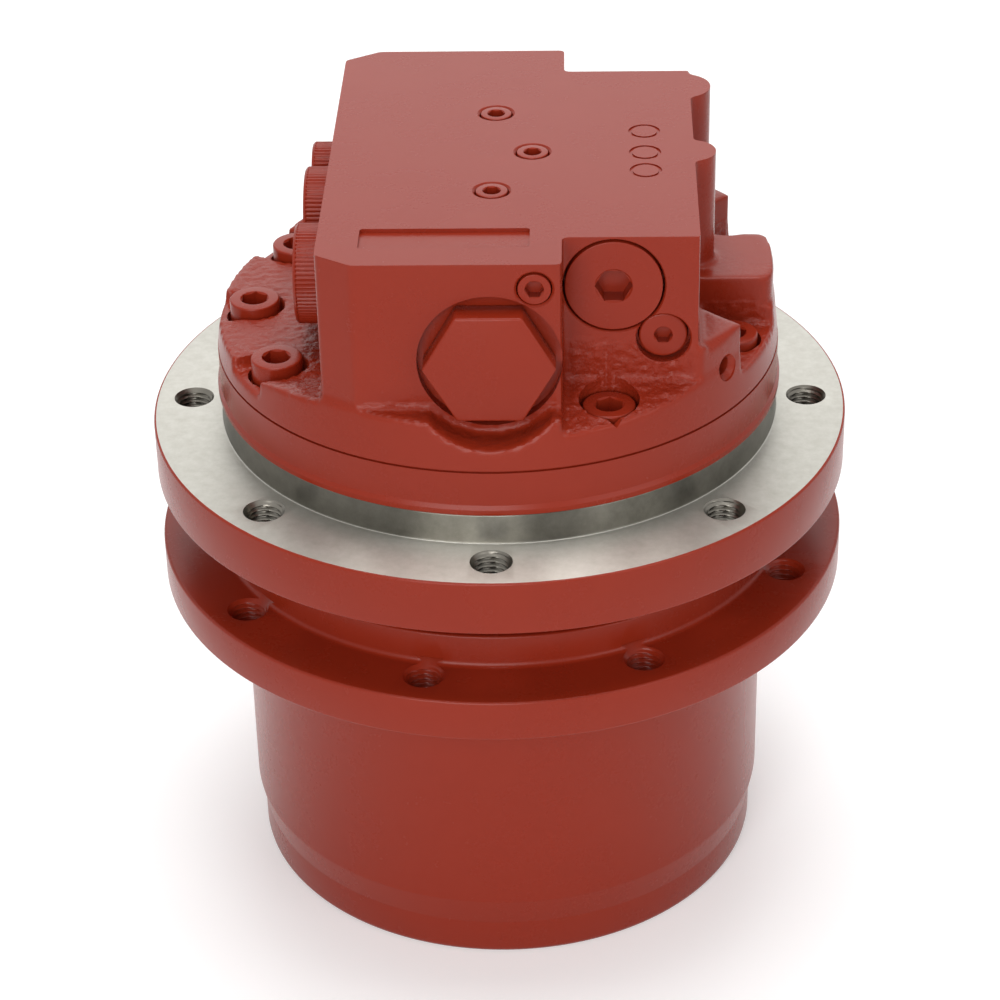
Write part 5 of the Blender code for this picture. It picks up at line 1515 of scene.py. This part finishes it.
@dataclass
class ValvePlugs:
    """The plugs in the block's faces: spool plugs, relief valves and the small ones."""

    casing: ValveCasing
    across_flats: float = 34.4
    head: Point = (74.7, 83.6)
    shank_radius: float = 15.0
    shank: Point = (57.0, 75.0)
    relief: SocketPlug = SocketPlug(14.6, 10.0, 9.0, 24.0, 5.7, 6.0, 0.3)
    gauge: SocketPlug = SocketPlug(7.3, 7.0, 6.7, 7.0, 2.9, 3.5, 0.7)
    gauge_sunk: float = 2.2
    small: SocketPlug = SocketPlug(4.9, 4.0, 4.4, 4.0, 2.9, 3.5, 0.3)

    def spool_plug(self) -> bpy.types.Mesh:
        """A hexagon plug, its axis along +Z and its face at the end.

        Returns:
            The plug.
        """
        corner = self.across_flats / 2.0 / math.cos(math.pi / 6.0)
        head = eased(prism(polygon(6, corner), *self.head), 0.7, 3)
        return worked(head, Work.JOIN, rod(self.shank_radius, *self.shank, 64), exact=True)

    def build(self, shop: Workshop) -> None:
        """Build all the plugs.

        Args:
            shop: The Geometry Nodes.
        """
        case = self.casing
        relief, small = self.relief.mesh(), self.small.mesh()
        for label, side in (("front", -1.0), ("back", 1.0)):
            out = facing(0.0, side, 0.0)
            plug = moved(self.spool_plug(), at(0.0, 0.0, case.spool_height) @ out)
            place_piece(f"hexagon_plug_{label}", plug, [f"spool_plug_{label}"])
            y = side * (case.shallow - self.relief.head_height)
            plug = moved(relief, at(case.relief_x, y, case.relief_height) @ out)
            place_piece(f"round_plug_{label}", plug, [f"relief_valve_{label}"])
        front = facing(0.0, -1.0, 0.0)
        y = -case.shallow + self.gauge_sunk + self.gauge.head_height
        plug = moved(self.gauge.mesh(), at(case.gauge_x, y, case.gauge_height) @ front)
        place_piece("recessed_plug", plug, ["gauge_plug"])
        y = -case.deep + self.small.head_height
        plug = moved(small, at(case.orifice_x, y, case.orifice_height) @ front)
        place_piece("small_front_plug", plug, ["orifice_plug"])
        places = [at(x, y, case.top - self.small.head_height) for x, y in GALLERY_PLACES]
        mesh = shop.repeat.spread(small, places, SMOOTH_PRIMER)
        place_piece("gallery_plugs", mesh, [f"gallery_plug_{index}" for index in (1, 2, 3)])


@dataclass
class PortCaps:
    """The knurled caps that close the ports on the left."""

    left: float = -51.0
    height: float = 220.0
    thickness: float = 10.6
    ridge: float = 0.45
    # Radius over the ridges, how many ridges, and the radius of the plug in the port.
    work_cap: tuple[float, int, float] = (15.6, 68, 9.7)
    drain_cap: tuple[float, int, float] = (11.0, 48, 5.7)

    def cap(self, radius: float, ridges: int, plug: float) -> bpy.types.Mesh:
        """One cap, its seat at zero and its top up.

        Args:
            radius: Outer radius over the ridges.
            ridges: How many ridges there are.
            plug: Radius of the part that enters the port.

        Returns:
            The cap with its plug.
        """
        steps = 6 * ridges
        top = self.thickness
        rows = [(0.3, 1.2), (0.3, 0.35), (0.65, 0.0), (1.3, 0.0), (1.7, None)]
        rows += [(top - 1.2, None), (top - 0.8, 0.0), (top - 0.5, 0.15), (top, 0.7), (top, 1.6)]
        verts: list[Corner] = []
        for height, inset in rows:
            for step in range(steps):
                turn = 2.0 * math.pi * step / steps
                wave = 0.5 - 0.5 * math.cos(turn * ridges)
                reach = radius - (self.ridge * wave if inset is None else inset)
                verts.append((reach * math.cos(turn), reach * math.sin(turn), height))
        count = len(rows) - 1
        faces = [list(range(steps)), [count * steps + step for step in range(steps)]]
        for row in range(count):
            for step in range(steps):
                here, after = row * steps + step, row * steps + (step + 1) % steps
                faces.append([here, after, after + steps, here + steps])
        return worked(mesh_from(verts, faces), Work.JOIN, rod(plug, -12.0, 4.0, 48), exact=True)

    def build(self) -> None:
        """Build the three caps."""
        rows = (
            ("port_cap_front", *self.work_cap, WORK_PORTS[0]),
            ("port_cap_back", *self.work_cap, WORK_PORTS[1]),
            ("drain_cap", *self.drain_cap, DRAIN_PORT),
        )
        left = facing(-1.0, 0.0, 0.0)
        for node, radius, ridges, plug, y in rows:
            mesh = moved(self.cap(radius, ridges, plug), at(self.left, y, self.height) @ left)
            place_piece(f"knurled_{node}", mesh, [node])


@dataclass
class NoseCover:
    """The end cover at the hub's nose with its ring and oil plugs."""

    base: float = 4.0
    top: float = 13.0
    radius: float = 76.0
    plug_circle: float = 48.0
    plug: SocketPlug = SocketPlug(12.0, 2.7, 9.0, 6.0, 4.0, 5.4, 0.4)
    plug_seat: Profile = (
        (9.3, -12.0),
        (9.3, -3.0),
        (12.3, -3.0),
        (12.3, -0.5),
        (12.8, 0.0),
        (12.8, OVER),
    )
    ring_radii: Point = (78.0, 73.0)
    ring_span: Point = (1.7, 3.7)
    ring_gap: float = 18.0

    def build(self) -> None:
        """Build the cover, the ring and the plugs."""
        rows = [
            (0.0, self.base + 2.0, 0.0),
            (26.0, self.base + 2.0, 1.0),
            (28.0, self.base, 1.0),
            (self.radius, self.base, 0.8),
            (self.radius, self.top, 0.5),
            (0.0, self.top, 0.0),
        ]
        down = facing(0.0, 0.0, -1.0)
        spots = [at(0.0, side * self.plug_circle, self.base) for side in (1.0, -1.0)]
        seats = moved(stepped(self.plug_seat, 64), *(spot @ down for spot in spots))
        cover = worked(turned(rounded(rows)), Work.AWAY, seats)
        place_piece("nose_cover", cover, ["end_cover"], Body.HUB)
        plug = self.plug.mesh()
        for node, spot in zip(("filler_plug", "drain_plug"), spots):
            mesh = moved(plug, spot @ at(0.0, 0.0, self.plug.head_height) @ down)
            place_piece(f"oil_{node}", mesh, [node], Body.HUB, [DULL_STEEL])
        half, sweep = self.ring_gap / 2.0, 360.0 - self.ring_gap
        turns = [math.radians(half + sweep * step / 120.0) for step in range(121)]
        outer, inner = self.ring_radii
        outline = [(outer * math.cos(turn), outer * math.sin(turn)) for turn in turns]
        outline += [(inner * math.cos(turn), inner * math.sin(turn)) for turn in reversed(turns)]
        ring = eased(prism(outline, *self.ring_span), 0.25)
        place_piece("snap_ring", ring, ["cover_retaining_ring"], Body.HUB, [SPRING_STEEL])


@dataclass
class InnerWorks:
    """The parts inside, which keep their CAD shapes and get their metals."""

    finishes: tuple[tuple[Finish, tuple[str, ...]], ...] = (
        (GROUND_STEEL, ("planet_stage", "planet_pin", "sun_gear", "drive_shaft", "swash_plate")),
        (GROUND_STEEL, ("bearing_lower", "bearing_upper", "shaft_bearing", "seal_ring")),
        (GROUND_STEEL, ("counterbalance",)),
        (DULL_STEEL, ("planet_carrier", "cylinder_block", "brake_piston", "bearing_nut")),
        (BRONZE, ("slipper", "valve_plate")),
        (LINING, ("brake_friction",)),
        (RUBBER, ("shaft_seal", "seal_toric")),
    )

    def dress(self, nodes: dict[str, bpy.types.Object]) -> None:
        """Give each CAD node that is still shown its finish.

        Args:
            nodes: The frame's nodes by name.
        """
        for name, node in nodes.items():
            for finish, starts in self.finishes:
                if name.startswith(starts) and not node.hide_render:
                    node.data.materials.clear()
                    node.data.materials.append(finish.material())


@dataclass
class BrakeSpring:
    """Disc spring over the brake piston: a shallow cone that goes flatter as the piston rises."""

    thickness: float = 2.0
    inner: float = 47.0
    travel: float = 1.2

    def build(self) -> None:
        """Turn the cone at the size of its CAD node."""
        low, high = (np.array(corner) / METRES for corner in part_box("brake_spring"))
        outer, floor, top = float(high[0]), float(low[2]), float(high[2])
        profile = [
            (outer, floor),
            (outer, floor + self.thickness),
            (self.inner, top),
            (self.inner, top - self.thickness),
        ]
        name, stands_for = "brake_disc_spring", ["brake_spring"]
        spring = place_piece(name, turned(profile), stands_for, finishes=[SPRING_STEEL])
        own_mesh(spring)


@dataclass
class Studio:
    """Pale floor, soft lamps and the camera at the photograph's viewing angle."""

    # The camera in metres and degrees, its lens and sensor in millimetres.
    camera_place: Corner = (0.02910, -0.85044, 0.64810)
    elevation: float = -31.62855
    heading: float = 1.99006
    roll: float = -1.22223
    lens: float = 107.704
    sensor: float = 36.0
    floor_size: float = 8.0
    look_at: Corner = (0.0, 0.0, 0.13)
    # Name, place, width in metres and power in watts.
    lamps: tuple[tuple[str, Corner, float, float], ...] = (
        ("key_softbox", (-0.4, -2.1, 1.05), 1.5, 33.0),
        ("fill_softbox", (1.5, -1.3, 0.9), 1.2, 7.0),
        ("top_softbox", (0.0, 0.3, 2.2), 1.4, 31.0),
        ("back_softbox", (-0.1, 1.75, 1.25), 1.6, 6.5),
    )

    def build(self) -> None:
        """Make the floor, the world, the lamps and the camera."""
        self.make_floor()
        self.make_world()
        for lamp in self.lamps:
            self.make_lamp(*lamp)
        camera = bpy.data.objects.new("camera", bpy.data.cameras.new("camera"))
        bpy.context.scene.collection.objects.link(camera)
        camera.data.lens = self.lens
        camera.data.sensor_width = self.sensor
        camera.data.clip_start = 0.01
        camera.matrix_world = at(*self.camera_place)
        for angle, axis in ((self.heading, "Z"), (90.0 + self.elevation, "X"), (self.roll, "Z")):
            camera.matrix_world @= Matrix.Rotation(math.radians(angle), 4, axis)
        bpy.context.scene.camera = camera
        bpy.context.scene.view_settings.view_transform = "Standard"

    def make_lamp(self, name: str, place: Corner, size: float, power: float) -> None:
        """Add a square soft lamp that looks at the drive.

        Args:
            name: The lamp's name.
            place: Where it hangs, in metres.
            size: Its width, in metres.
            power: Its power, in watts.
        """
        lamp = bpy.data.lights.new(name, "AREA")
        lamp.size = size
        lamp.energy = power
        thing = bpy.data.objects.new(name, lamp)
        bpy.context.scene.collection.objects.link(thing)
        thing.location = place
        look = Vector(self.look_at) - Vector(place)
        thing.rotation_euler = look.to_track_quat("-Z", "Y").to_euler()

    def make_floor(self) -> None:
        """A wide pale floor that keeps the shadow and looks white."""
        half = self.floor_size / 2.0
        corners = [(-half, -half, 0.0), (half, -half, 0.0), (half, half, 0.0), (-half, half, 0.0)]
        mesh = bpy.data.meshes.new("floor")
        mesh.from_pydata(corners, [], [(0, 1, 2, 3)])
        floor = bpy.data.objects.new("floor", mesh)
        bpy.context.scene.collection.objects.link(floor)
        material = bpy.data.materials.new("floor_paper")
        material.use_nodes = True
        tree = material.node_tree
        tree.nodes.clear()
        glow = add_node(
            tree, "ShaderNodeMath", {0: self.seen_rays(tree), 1: 0.3}, operation="MULTIPLY"
        )
        paper = {
            "Base Color": (0.8, 0.8, 0.8, 1.0),
            "Roughness": 0.9,
            "Emission Color": (1.0, 1.0, 1.0, 1.0),
            "Emission Strength": glow.outputs[0],
        }
        shader = add_node(tree, "ShaderNodeBsdfPrincipled", paper)
        add_node(tree, "ShaderNodeOutputMaterial", {"Surface": shader.outputs[0]})
        mesh.materials.append(material)

    def seen_rays(self, tree: bpy.types.NodeTree) -> bpy.types.NodeSocket:
        """One for the rays that show the background: to the camera, by gloss or through glass.

        Args:
            tree: The tree of a material or of the world.

        Returns:
            One for such rays, zero for the others.
        """
        path = add_node(tree, "ShaderNodeLightPath").outputs
        seen = path["Is Camera Ray"]
        for name in ("Is Glossy Ray", "Is Transmission Ray"):
            either = add_node(tree, "ShaderNodeMath", {0: seen, 1: path[name]}, operation="MAXIMUM")
            seen = either.outputs[0]
        return seen

    def make_world(self) -> None:
        """White where it is seen, dimmer where it only lights."""
        world = bpy.data.worlds.new("studio")
        bpy.context.scene.world = world
        world.use_nodes = True
        tree = world.node_tree
        tree.nodes.clear()
        strength = add_node(
            tree, "ShaderNodeMapRange", {0: self.seen_rays(tree), 3: 0.28, 4: 1.0}
        )
        background = add_node(
            tree,
            "ShaderNodeBackground",
            {"Color": (1.0, 1.0, 1.0, 1.0), "Strength": strength.outputs[0]},
        )
        add_node(tree, "ShaderNodeOutputWorld", {"Surface": background.outputs[0]})


def main() -> None:
    """Build every sub-assembly, dress what the frame keeps and light the scene."""
    logging.basicConfig(level=logging.INFO, format="%(name)s: %(message)s")
    for old in list(bpy.data.objects):
        bpy.data.objects.remove(old, do_unlink=True)
    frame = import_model()
    shop = Workshop(RepeatTree(), ThreadTree())
    casing = ValveCasing()
    HubDrum().build(shop)
    Spindle().build(shop)
    casing.build()
    CasingScrews().build(shop)
    ValvePlugs(casing).build(shop)
    PortCaps().build()
    NoseCover().build()
    BrakeSpring().build()
    InnerWorks().dress(frame["nodes"])
    Studio().build()
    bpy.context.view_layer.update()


if __name__ == "__main__":
    main()
